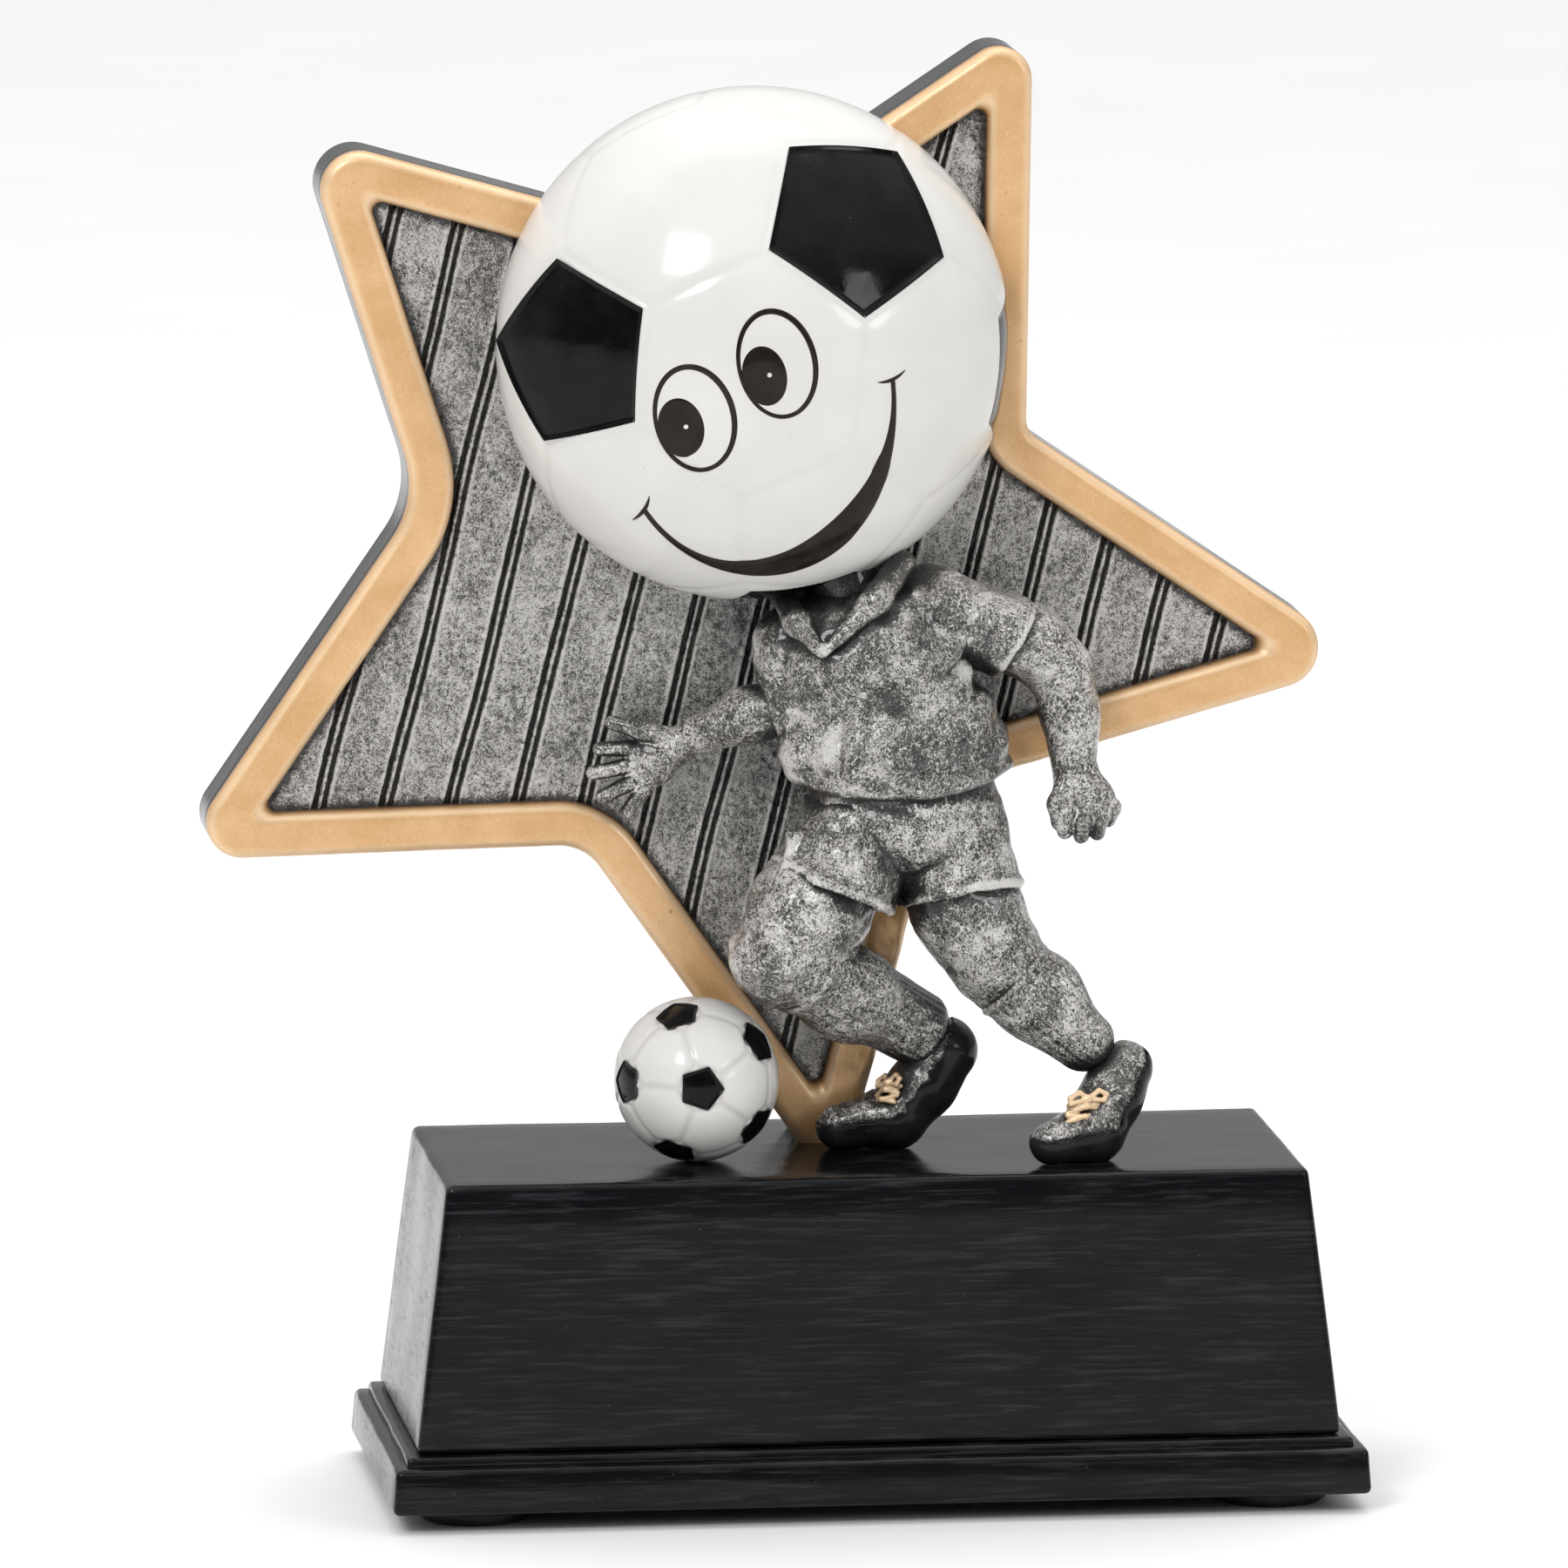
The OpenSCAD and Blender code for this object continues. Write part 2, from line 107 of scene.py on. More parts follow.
def make_piece(name, verts, faces, material, nodes=(), slot=None, attributes=None, front=None):
    """A mesh piece from millimetre points, which rides on the trophy's one body.

    front is the side that the faces of an open sheet look to; a closed piece needs none."""
    verts = np.asarray(verts, float) + np.array([PLINTH_X, 0, 0])
    mesh = bpy.data.meshes.new(name)
    mesh.from_pydata((verts * MM).tolist(), [], [list(map(int, f)) for f in faces])
    turn_outward(mesh, front)
    mesh.polygons.foreach_set("use_smooth", np.ones(len(mesh.polygons), bool))
    for key, values in (attributes or {}).items():
        layer = mesh.attributes.new(key, "FLOAT", "POINT")
        layer.data.foreach_set("value", np.asarray(values, np.float32))
    mesh.materials.append(material)
    mesh.validate()
    obj = bpy.data.objects.new(name, mesh)
    bpy.context.scene.collection.objects.link(obj)
    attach(obj, BODY)
    if nodes:
        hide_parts(*nodes)
    return obj


def turn_outward(mesh, front):
    """Flips the faces if they look inwards, or away from front."""
    count = len(mesh.polygons)
    normals, centres, areas = np.empty(count * 3), np.empty(count * 3), np.empty(count)
    mesh.polygons.foreach_get("normal", normals)
    mesh.polygons.foreach_get("center", centres)
    mesh.polygons.foreach_get("area", areas)
    normals, centres = normals.reshape(-1, 3), centres.reshape(-1, 3)
    look = centres - centres.mean(0) if front is None else np.asarray(front, float)
    if ((normals * look).sum(1) * areas).sum() < 0:
        mesh.flip_normals()


def grid_faces(rows, cols, wrap_rows=False, wrap_cols=False):
    """Quads over a rows x cols grid of points, row after row."""
    r = np.arange(rows if wrap_rows else rows - 1)
    c = np.arange(cols if wrap_cols else cols - 1)
    r, c = (a.ravel() for a in np.meshgrid(r, c, indexing="ij"))
    r2, c2 = (r + 1) % rows, (c + 1) % cols
    return np.stack([r * cols + c, r * cols + c2, r2 * cols + c2, r2 * cols + c], 1)


# ---------------- materials


class Shader:
    """A node material under construction, with short calls for the nodes used here."""

    def __init__(self, name):
        self.material = bpy.data.materials.new(name)
        self.material.use_nodes = True
        self.tree = self.material.node_tree
        self.out = self.tree.nodes["Principled BSDF"]
        self.place = self.add("ShaderNodeTexCoord").outputs["Object"]

    def add(self, kind, **settings):
        node = self.tree.nodes.new(kind)
        for key, value in settings.items():
            setattr(node, key, value)
        return node

    def link(self, source, socket):
        if isinstance(source, (int, float)):
            socket.default_value = source
        elif isinstance(source, tuple):
            socket.default_value = (*source, 1)
        else:
            self.tree.links.new(source, socket)

    def stretched(self, factors):
        node = self.add("ShaderNodeVectorMath", operation="MULTIPLY")
        self.link(self.place, node.inputs[0])
        node.inputs[1].default_value = factors
        return node.outputs[0]

    def noise(self, size_mm, detail=4, rough=0.55, where=None, twist=0.0):
        node = self.add("ShaderNodeTexNoise")
        self.link(where or self.place, node.inputs["Vector"])
        node.inputs["Scale"].default_value = 1 / (size_mm * MM)
        node.inputs["Detail"].default_value = detail
        node.inputs["Roughness"].default_value = rough
        node.inputs["Distortion"].default_value = twist
        return node.outputs[0]

    def cells(self, size_mm):
        node = self.add("ShaderNodeTexVoronoi")
        self.link(self.place, node.inputs["Vector"])
        node.inputs["Scale"].default_value = 1 / (size_mm * MM)
        return node.outputs["Distance"]

    def attribute(self, name):
        return self.add("ShaderNodeAttribute", attribute_name=name).outputs["Fac"]

    def ramp(self, value, low, high, to_low=0.0, to_high=1.0):
        node = self.add("ShaderNodeMapRange", interpolation_type="SMOOTHSTEP")
        self.link(value, node.inputs["Value"])
        node.inputs["From Min"].default_value = low
        node.inputs["From Max"].default_value = high
        node.inputs["To Min"].default_value = to_low
        node.inputs["To Max"].default_value = to_high
        return node.outputs["Result"]

    def math(self, operation, a, b=0.0, clamp=False):
        node = self.add("ShaderNodeMath", operation=operation, use_clamp=clamp)
        self.link(a, node.inputs[0])
        self.link(b, node.inputs[1])
        return node.outputs[0]

    def mix(self, amount, a, b):
        node = self.add("ShaderNodeMix", data_type="RGBA")
        self.link(amount, node.inputs["Factor"])
        self.link(a, node.inputs["A"])
        self.link(b, node.inputs["B"])
        return node.outputs["Result"]

    def bump(self, *layers):
        """layers: (height, strength, depth in mm), laid one over the other."""
        normal = None
        for height, strength, depth_mm in layers:
            node = self.add("ShaderNodeBump")
            node.inputs["Strength"].default_value = strength
            node.inputs["Distance"].default_value = depth_mm * MM
            self.link(height, node.inputs["Height"])
            if normal is not None:
                self.link(normal, node.inputs["Normal"])
            normal = node.outputs["Normal"]
        self.link(normal, self.out.inputs["Normal"])

    def set(self, **sockets):
        for key, value in sockets.items():
            self.link(value, self.out.inputs[key.replace("_", " ")])


def black_lacquer(name, streak_axes, streaks=1.0):
    """Brushed-on gloss black: fine runs along one direction, dust and dull patches."""
    s = Shader(name)
    runs = s.noise(1.1, 6, 0.65, s.stretched(streak_axes), 0.3)
    cloud = s.noise(14, 3, 0.5)
    dust = s.ramp(s.cells(2.3), 0.045, 0.02)
    worn = s.math("MULTIPLY", s.ramp(runs, 0.47, 0.72), streaks)
    base = s.mix(worn, (0.0045, 0.005, 0.006), (0.024, 0.025, 0.028))
    base = s.mix(s.math("MULTIPLY", dust, 0.5), base, (0.09, 0.09, 0.09))
    rough = s.math("ADD", s.ramp(cloud, 0.3, 0.7, 0.1, 0.2), s.math("MULTIPLY", worn, 0.12))
    s.set(Base_Color=base, Roughness=rough, Specular_IOR_Level=0.15)
    s.set(Coat_Weight=0.06, Coat_Roughness=0.05)
    s.bump((s.noise(9, 2, 0.5), 0.22, 0.5), (runs, 0.12, 0.1), (dust, 0.3, 0.05))
    return s.material


def antique_gold():
    """Satin gold paint with a fine grain, lighter on ridges, with dark brown painted shade in the
    hollows.
    """
    s = Shader("antique_gold")
    grain = s.noise(0.22, 3, 0.7)
    cloud = s.noise(5, 4, 0.6)
    hollow = s.attribute("hollow")
    ridge = s.attribute("ridge")
    base = s.mix(s.ramp(cloud, 0.3, 0.7), (0.66, 0.385, 0.165), (0.76, 0.47, 0.235))
    base = s.mix(s.ramp(grain, 0.56, 0.75, 0, 0.55), base, (0.5, 0.26, 0.095))
    base = s.mix(s.ramp(grain, 0.42, 0.3, 0, 0.45), base, (0.86, 0.62, 0.38))
    spots = s.ramp(s.cells(1.7), 0.16, 0.05, 0, 0.7)
    base = s.mix(s.math("MULTIPLY", spots, s.ramp(cloud, 0.5, 0.75)), base, (0.3, 0.14, 0.045))
    base = s.mix(s.math("MULTIPLY", ridge, 0.55), base, (0.9, 0.72, 0.5))
    # painted shade: dark brown in the hollows and recesses, broken up by noise
    brown_shade = s.math("MULTIPLY", hollow, s.ramp(s.noise(0.8, 4, 0.6), 0.2, 0.6, 0.75, 1))
    base = s.mix(brown_shade, base, (0.07, 0.032, 0.012))
    rough = s.ramp(grain, 0.3, 0.7, 0.34, 0.5)
    s.set(Base_Color=base, Roughness=rough, Metallic=0.3, Coat_Weight=0.25, Coat_Roughness=0.2)
    s.bump((s.noise(3.2, 2, 0.5), 0.3, 0.18), (grain, 0.3, 0.03))
    return s.material


def antique_silver(name, fleck_mm, bare, depth_mm, patchy, shine=0.56):
    """Silver dry-brushed over black: scratchy flecks on the high spots, black in the hollows,
    partly the black that dry-brushing leaves there and partly painted shade where nearby surfaces close
    in.

    The higher bare is, the more stays black; patchy is how far that varies from place
    to place, and shine the brightness of the bare silver."""
    s = Shader(name)
    hollow = s.attribute("hollow")
    ridge = s.attribute("ridge")
    fleck = s.noise(fleck_mm, 5, 0.7, twist=1.6)
    swirl = s.noise(fleck_mm * 3.2, 4, 0.6, s.stretched((1.0, 1.0, 0.6)), 2.2)
    stroke = s.ramp(s.math("ABSOLUTE", s.math("SUBTRACT", swirl, 0.5)), 0.035, 0.004)
    patch = s.noise(fleck_mm * 11, 3, 0.55, twist=0.4)
    high = s.math("ADD", fleck, s.math("MULTIPLY", stroke, 0.1))
    high = s.math("ADD", high, s.math("MULTIPLY", s.math("SUBTRACT", patch, 0.5), patchy))
    high = s.math("ADD", high, s.math("MULTIPLY", ridge, 0.17))
    # painted shade: the hollows lose silver, so more black shows there
    high = s.math("SUBTRACT", high, s.math("MULTIPLY", hollow, 0.36))
    silver = s.ramp(high, bare - 0.07, bare + 0.02)
    bright = s.ramp(high, bare + 0.02, bare + 0.1)
    base = s.mix(silver, (0.014, 0.0125, 0.011), (0.17, 0.162, 0.15))
    base = s.mix(bright, base, (shine, shine * 0.975, shine * 0.935))
    rough = s.ramp(fleck, 0.3, 0.7, 0.38, 0.2)
    s.set(Base_Color=base, Roughness=rough, Metallic=0.1, Coat_Weight=0.5, Coat_Roughness=0.08)
    s.bump((stroke, 0.4, depth_mm), (fleck, 0.9, depth_mm))
    return s.material


def ball_white():
    s = Shader("ball_white")
    cloud = s.noise(7, 3, 0.5)
    fine = s.noise(0.35, 2, 0.5)
    hollow = s.attribute("hollow")
    dust = s.ramp(s.cells(3.1), 0.03, 0.012)
    base = s.mix(s.ramp(cloud, 0.3, 0.7), (0.68, 0.667, 0.642), (0.715, 0.702, 0.678))
    # painted shade: darker in the seams, round the patch rims and where the small ball meets the plinth
    # top
    base = s.mix(s.math("MULTIPLY", hollow, 0.45), base, (0.42, 0.4, 0.365))
    base = s.mix(s.math("MULTIPLY", dust, 0.5), base, (0.3, 0.27, 0.23))
    s.set(Base_Color=base, Roughness=s.ramp(fine, 0.3, 0.7, 0.13, 0.2))
    s.set(Specular_IOR_Level=0.2, Coat_Weight=0.12, Coat_Roughness=0.05)
    s.bump((s.noise(6, 2, 0.5), 0.3, 0.2), (fine, 0.06, 0.02))
    return s.material


def ball_black(name, base_low=(0.003, 0.0032, 0.0035), base_high=(0.0065, 0.0068, 0.0073)):
    s = Shader(name)
    cloud = s.noise(3, 4, 0.6)
    dust = s.ramp(s.cells(1.6), 0.05, 0.02)
    base = s.mix(s.ramp(cloud, 0.3, 0.7), base_low, base_high)
    base = s.mix(s.math("MULTIPLY", dust, s.ramp(cloud, 0.5, 0.62, 0, 0.6)), base, (0.25, 0.25, 0.25))
    s.set(Base_Color=base, Roughness=s.ramp(cloud, 0.3, 0.7, 0.1, 0.22))
    s.set(Specular_IOR_Level=0.12, Coat_Weight=0.08, Coat_Roughness=0.03)
    s.bump((s.noise(2.2, 3, 0.5), 0.35, 0.12), (dust, 0.25, 0.03))
    return s.material


def bumper_rubber():
    s = Shader("bumper_rubber")
    grain = s.noise(0.25, 3, 0.6)
    base = s.mix(s.ramp(s.noise(3, 3, 0.6), 0.3, 0.7), (0.006, 0.006, 0.006), (0.017, 0.017, 0.018))
    s.set(Base_Color=base, Roughness=s.ramp(grain, 0.3, 0.7, 0.5, 0.7))
    s.bump((grain, 0.4, 0.03))
    return s.material


def floor_paper():
    s = Shader("floor_paper")
    tone = s.noise(40, 2, 0.5)
    base = s.mix(s.ramp(tone, 0.2, 0.8), (0.86, 0.86, 0.86), (0.88, 0.88, 0.88))
    s.set(Base_Color=base, Roughness=0.85)
    return s.material


GLOSS_BLACK = black_lacquer("plinth_lacquer", (0.16, 0.4, 2.6))
STAR_BLACK = black_lacquer("star_lacquer", (2, 5, 2), 0.8)
GOLD = antique_gold()
# The cloth copy is kept darker, with more black left, as painted shade for the chest and collar under
# the head.
CLOTH_SILVER_SHADED = antique_silver("cloth_silver_shaded", 0.3, 0.525, 0.1, 0.34, 0.68)
LEG_SILVER = antique_silver("leg_silver", 0.32, 0.508, 0.1, 0.32, 0.7)
ARM_SILVER = antique_silver("arm_silver", 0.36, 0.475, 0.08, 0.3, 0.66)
PANEL_SILVER = antique_silver("panel_silver", 0.22, 0.54, 0.06, 0.1, 0.6)
BALL_WHITE = ball_white()
BALL_BLACK = ball_black("ball_black")
LINE_PAINT = ball_black("line_paint", (0.012, 0.009, 0.007), (0.024, 0.018, 0.014))
SOLE_BLACK = ball_black("sole_black", (0.008, 0.008, 0.008), (0.02, 0.02, 0.02))
RUBBER = bumper_rubber()

# ---------------- plinth


def rounded_frustum(lo, hi, lean_x, lean_y, radius, cut_mm):
    """Tapered block with rounded edges, cut fine enough to carry a slight unevenness."""
    bm = bmesh.new()
    corners = [(-1, -1), (1, -1), (1, 1), (-1, 1)]
    half = np.array([hi[0], hi[1]])
    bottom = [bm.verts.new((sx * half[0], sy * half[1], lo[2])) for sx, sy in corners]
    top = [
        bm.verts.new((sx * (half[0] - lean_x), sy * (half[1] - lean_y), hi[2]))
        for sx, sy in corners
    ]
    bm.faces.new(bottom[::-1])
    bm.faces.new(top)
    for i in range(4):
        j = (i + 1) % 4
        bm.faces.new((bottom[i], bottom[j], top[j], top[i]))
    bmesh.ops.bevel(
        bm, geom=bm.edges[:] + bm.verts[:], offset=radius, segments=5, profile=0.5, affect="EDGES"
    )
    for axis in range(3):
        normal = Vector([float(i == axis) for i in range(3)])
        low, high = lo[axis] + radius * 2, hi[axis] - radius * 2
        for k in range(1, max(2, int((high - low) / cut_mm))):
            at = low + k * cut_mm
            if at < high:
                bmesh.ops.bisect_plane(
                    bm, geom=bm.verts[:] + bm.edges[:] + bm.faces[:],
                    plane_co=normal * at, plane_no=normal,
                )
    bm.verts.ensure_lookup_table()
    verts = np.array([v.co[:] for v in bm.verts])
    faces = [[v.index for v in f.verts] for f in bm.faces]
    bm.free()
    return verts, faces


def uneven(verts, lo, hi, amount, size, seed):
    """Moves points inwards by a soft random amount, so that nothing leaves the box."""
    mid = (np.asarray(lo) + hi) / 2
    dent = amount * (0.5 + 0.5 * wave(verts, size, seed))
    out = verts - mid
    return mid + out * (1 - dent[:, None] / np.maximum(np.abs(out).max(1), 1)[:, None])


def plinth():
    verts, faces = rounded_frustum(BLOCK_LO, BLOCK_HI, 2.7, 1.55, 0.6, 2.5)
    verts = uneven(verts, BLOCK_LO, BLOCK_HI, 0.12, 7, 3)
    make_piece("plinth_block", verts, faces, GLOSS_BLACK, ["base_block"], "resin_black")
    ledge = 0.8
    step_lo = np.array([BLOCK_LO[0] - 1, BLOCK_LO[1] - 1, SKIRT_HI[2] - ledge - 0.3])
    step_hi = np.array([BLOCK_HI[0] + 1, BLOCK_HI[1] + 1, SKIRT_HI[2]])
    skirt_hi = np.array([SKIRT_HI[0], SKIRT_HI[1], SKIRT_HI[2] - ledge])
    verts, faces = rounded_frustum(SKIRT_LO, skirt_hi, 0.3, 0.3, 0.55, 2.5)
    verts = uneven(verts, SKIRT_LO, skirt_hi, 0.14, 5, 4)
    more, more_faces = rounded_frustum(step_lo, step_hi, 0.15, 0.15, 0.4, 2.5)
    more = uneven(more, step_lo, step_hi, 0.16, 4, 5)
    faces = faces + [[i + len(verts) for i in f] for f in more_faces]
    verts = np.vstack([verts, more])
    make_piece("plinth_skirt", verts, faces, GLOSS_BLACK, ["base_skirt"], "resin_black")


def bumper_feet():
    turns = 48
    for side in ("front_left", "front_right", "rear_left", "rear_right"):
        lo, hi = cad_box("foot_" + side)
        r = (hi[0] - lo[0]) / 2
        h = hi[2] - lo[2]
        profile = [(0, 0), (r * 0.5, 0), (r - 0.9, 0), (r - 0.5, 0.05), (r - 0.15, 0.3)]
        profile += [(r, 0.7), (r, h), (0, h)]
        angle = np.arange(turns) * 2 * math.pi / turns
        verts = np.vstack([
            np.stack([
                (lo[0] + hi[0]) / 2 + ring_r * np.cos(angle),
                (lo[1] + hi[1]) / 2 + ring_r * np.sin(angle),
                np.full(turns, z),
            ], 1)
            for ring_r, z in profile
        ])
        faces = grid_faces(len(profile), turns, wrap_cols=True)
        make_piece("bumper_" + side, verts, faces, RUBBER, ["foot_" + side], "bumper")


# ---------------- star

# Corners in the star's plane: x, z and corner radius, clockwise from the top left
STAR = np.array([
    (-46.5, 115, 3.3), (-12.7, 105.4, 4), (15.2, 124, 2.8), (14.7, 89, 2),
    (44.2, 68.9, 3.4), (7.5, 58.7, 3.5), (-1.2, 23.8, 2), (-22.8, 54.5, 4.4),
    (-57.4, 53.8, 3), (-36.6, 84, 8),
])
BORDER_W = 3.8
CORNER_STEPS = 14
EDGE_STEP = 0.8


def star_outline(inset):
    """The rounded outline moved in by inset, with the same number of points each time."""
    points = []
    n = len(STAR)
    corner, radius = STAR[:, :2], STAR[:, 2]
    ends = []
    for i in range(n):
        back = unit(corner[i - 1] - corner[i])
        ahead = unit(corner[(i + 1) % n] - corner[i])
        half = math.acos(np.clip(back @ ahead, -1, 1)) / 2
        outer = back[0] * ahead[1] - back[1] * ahead[0] > 0
        along = unit(back + ahead)
        tip = corner[i] + along * inset / math.sin(half) * (1 if outer else -1)
        r = max(radius[i] - inset, 0.75) if outer else radius[i] + inset
        centre = tip + along * r / math.sin(half)
        start = tip + back * r / math.tan(half) - centre
        turn = (math.pi - 2 * half) * (-1 if outer else 1)
        angles = turn * np.arange(CORNER_STEPS + 1) / CORNER_STEPS
        ends.append(np.stack([
            centre[0] + start[0] * np.cos(angles) - start[1] * np.sin(angles),
            centre[1] + start[0] * np.sin(angles) + start[1] * np.cos(angles),
        ], 1))
    for i in range(n):
        points.append(ends[i])
        a, b = ends[i][-1], ends[(i + 1) % n][0]
        steps = max(2, int(np.linalg.norm(corner[(i + 1) % n] - corner[i]) / EDGE_STEP))
        t = np.arange(1, steps)[:, None] / steps
        points.append(a + (b - a) * t)
    return np.vstack(points)


def star_rings(sections):
    """Points of a band swept round the star: one ring for each (inset, y)."""
    rings = []
    for inset, y in sections:
        flat = star_outline(inset)
        rings.append(np.stack([flat[:, 0], np.full(len(flat), y), flat[:, 1]], 1))
    return rings


def quarter(centre, radius, start, steps=5):
    """Points along a quarter round in an (inset, y) section."""
    a = np.radians(start + 90 * np.arange(steps + 1) / steps)
    return [(centre[0] - radius * math.cos(t), centre[1] - radius * math.sin(t)) for t in a]


# Where the rim is lumpy behind the player: x, z and how far the lumps spread
LUMPS = [(14.2, 62.0, 2.6), (5.5, 52.5, 3.2), (3.4, 46.5, 3.4), (1.6, 36.5, 3.0)]


def star_border():
    f, w = STAR_FRONT, BORDER_W
    round_r, inner_r = 0.9, 0.8
    section = [(0.02, BORDER_HI[1] - 0.9), (0.02, f + 1.6), (0.02, f + 1.2)]
    section += quarter((round_r + 0.02, f + round_r), round_r, 0)
    section += [(w * k, f) for k in (0.35, 0.45, 0.55, 0.65)]
    section += quarter((w - inner_r - 0.1, f + inner_r), inner_r, 90)
    section += [(w, PANEL_FRONT - 0.2), (w + 0.05, PANEL_FRONT + 0.25)]
    rings = star_rings(section)
    verts = np.vstack(rings)
    ripple = wave(verts, 4.5, 11) * 0.09 + wave(verts, 1.6, 12) * 0.035
    rough = 0
    for x, z, reach in LUMPS:
        away = (verts[:, 0] - x) ** 2 + (verts[:, 2] - z) ** 2
        rough = np.maximum(rough, np.exp(-(away / reach ** 2)))
    verts[:, 1] += np.clip(ripple + 0.1, 0.005, None) - rough * (0.25 + 0.5 * wave(verts, 1.5, 13))
    size = len(rings[0])
    depth = np.repeat([s[1] - f for s in section], size)
    inset = np.repeat([s[0] for s in section], size)
    # painted shade: darker down the inner wall towards the panel, and further back along the outer side
    hollow = np.where(inset > w / 2, smooth_step((depth - 0.35) / 1.1), 0)
    hollow = np.maximum(hollow, np.where(inset < w / 2, smooth_step((depth - 1.1) / 0.8), 0))
    near = np.minimum(np.abs(inset - 0.35), np.abs(inset - (w - 0.45)))
    ridge = np.clip(1 - near / 0.4, 0, 1) * (depth < 0.5)
    make_piece(
        "star_border_rim", verts, grid_faces(len(section), size, wrap_cols=True)[:, ::-1], GOLD,
        ["star_border"], "antique_gold", {"hollow": hollow, "ridge": ridge},
    )


def star_backing():
    b = STAR_BACK
    front = BORDER_HI[1] - 1.5
    section = [(2.5, front), (0.12, front), (0.1, front + 0.4)]
    section += [(0.02, y) for y in np.linspace(front + 0.8, b - 1.3, 7)]
    section += [
        (1.0 - 1.0 * math.cos(t), b - 1.0 + 1.0 * math.sin(t)) for t in np.radians([0, 22, 45, 68, 90])
    ]
    section += [(1.25, b), (3.5, b)]
    rings = star_rings(section)
    size = len(rings[0])
    verts = np.vstack(rings)
    faces = [list(f) for f in grid_faces(len(section), size, wrap_cols=True)[:, ::-1]]
    faces.append([(len(section) - 1) * size + i for i in range(size)])
    obj = make_piece("star_back_plate", verts, faces, STAR_BLACK, ["star_backing"], "resin_black")
    bm = bmesh.new()
    bm.from_mesh(obj.data)
    bmesh.ops.triangulate(bm, faces=[f for f in bm.faces if len(f.verts) > 4])
    bm.to_mesh(obj.data)
    bm.free()


def inside(outline, p):
    """True where the flat points p lie inside the closed outline."""
    hits = np.zeros(len(p), bool)
    a, b = outline, np.roll(outline, -1, axis=0)
    for (ax, az), (bx, bz) in zip(a, b):
        crosses = (az > p[:, 1]) != (bz > p[:, 1])
        if az != bz:
            hits ^= crosses & (p[:, 0] < (bx - ax) * (p[:, 1] - az) / (bz - az) + ax)
    return hits


GROOVE_LEAN = math.radians(13.8)
GROOVE_PITCH = 5.44
GROOVE_DEPTH = 0.5
GROOVE_APART = 0.36
PANEL_MID = np.array([-8.0, 72.0])


def star_panel():
    """Grooved panel: rows across the grooves are close together at each groove."""
    across = []
    count = 11
    for k in range(-count, count + 1):
        near = np.concatenate([np.linspace(-1.1, 1.1, 23), np.linspace(1.3, GROOVE_PITCH - 1.3, 17)])
        across.append(k * GROOVE_PITCH + near)
    u = np.concatenate(across)
    v = np.arange(-62, 62, 0.2)
    uu, vv = (a.ravel() for a in np.meshgrid(u, v, indexing="ij"))
    x = PANEL_MID[0] + uu * math.cos(GROOVE_LEAN) + vv * math.sin(GROOVE_LEAN)
    z = PANEL_MID[1] - uu * math.sin(GROOVE_LEAN) + vv * math.cos(GROOVE_LEAN)
    flat = np.stack([x, np.zeros(len(x)), z], 1)
    drift = wave(np.stack([uu * 0 + np.round(uu / GROOVE_PITCH) * 7, vv * 0, vv], 1), 9, 21) * 0.16
    off = uu - np.round(uu / GROOVE_PITCH) * GROOVE_PITCH + drift
    twin = wave(np.stack([np.round(uu / GROOVE_PITCH) * 5, vv, vv * 0], 1), 6, 22) * 0.07
    cut = np.exp(-(((off + GROOVE_APART + twin) / 0.17) ** 2))
    cut = cut + 0.85 * np.exp(-(((off - GROOVE_APART) / 0.15) ** 2))
    between = np.exp(-((off / 0.2) ** 2)) * 0.12
    lips = np.exp(-(((np.abs(off) - 0.72) / 0.18) ** 2)) * 0.1
    fibres = wave(np.stack([uu * 2.2, vv * 0, vv], 1), 0.85, 25)
    pits = np.abs(wave(flat, 0.62, 23)) * 0.13 + fibres * 0.035 + wave(flat, 3.5, 24) * 0.05
    y = PANEL_FRONT + 0.06 + GROOVE_DEPTH * cut - lips - between + pits
    y = np.clip(y, PANEL_FRONT - 0.12, PANEL_HI[1] - 0.1)
    keep = inside(star_outline(BORDER_W - 0.55), flat[:, [0, 2]]).reshape(len(u), len(v))
    cell = keep[:-1, :-1] & keep[1:, :-1] & keep[:-1, 1:] & keep[1:, 1:]
    faces = grid_faces(len(u), len(v))[cell.ravel()]
    used = np.unique(faces)
    index = np.full(len(u) * len(v), -1)
    index[used] = np.arange(len(used))
    verts = np.stack([x, y, z], 1)[used]
    edge_gap = outline_distance(star_outline(BORDER_W), verts[:, [0, 2]])
    # painted shade: darker in the grooves and along the foot of the border
    hollow = np.clip(cut * 1.2, 0, 1)[used] + 0.6 * np.exp(-((edge_gap / 0.45) ** 2))
    high = np.clip(0.5 - pits * 3.2, -0.5, 0.6)
    ridge = (lips * 6 + between * 4 + high)[used]
    make_piece(
        "star_grooved_panel", verts, index[faces][:, ::-1], PANEL_SILVER, ["star_panel"],
        "antique_silver", {"hollow": np.clip(hollow, 0, 1), "ridge": np.clip(ridge, 0, 1)},
        front=(0, -1, 0),
    )


def outline_distance(outline, p):
    """Distance from each flat point to the closed outline."""
    best = np.full(len(p), 1e9)
    for a, b in zip(outline, np.roll(outline, -1, axis=0)):
        d = b - a
        length = d @ d
        if length < 1e-9:
            continue
        t = np.clip(((p - a) @ d) / length, 0, 1)
        best = np.minimum(best, np.linalg.norm(p - a - t[:, None] * d, axis=1))
    return best


# ---------------- balls

GOLDEN = (1 + 5 ** 0.5) / 2


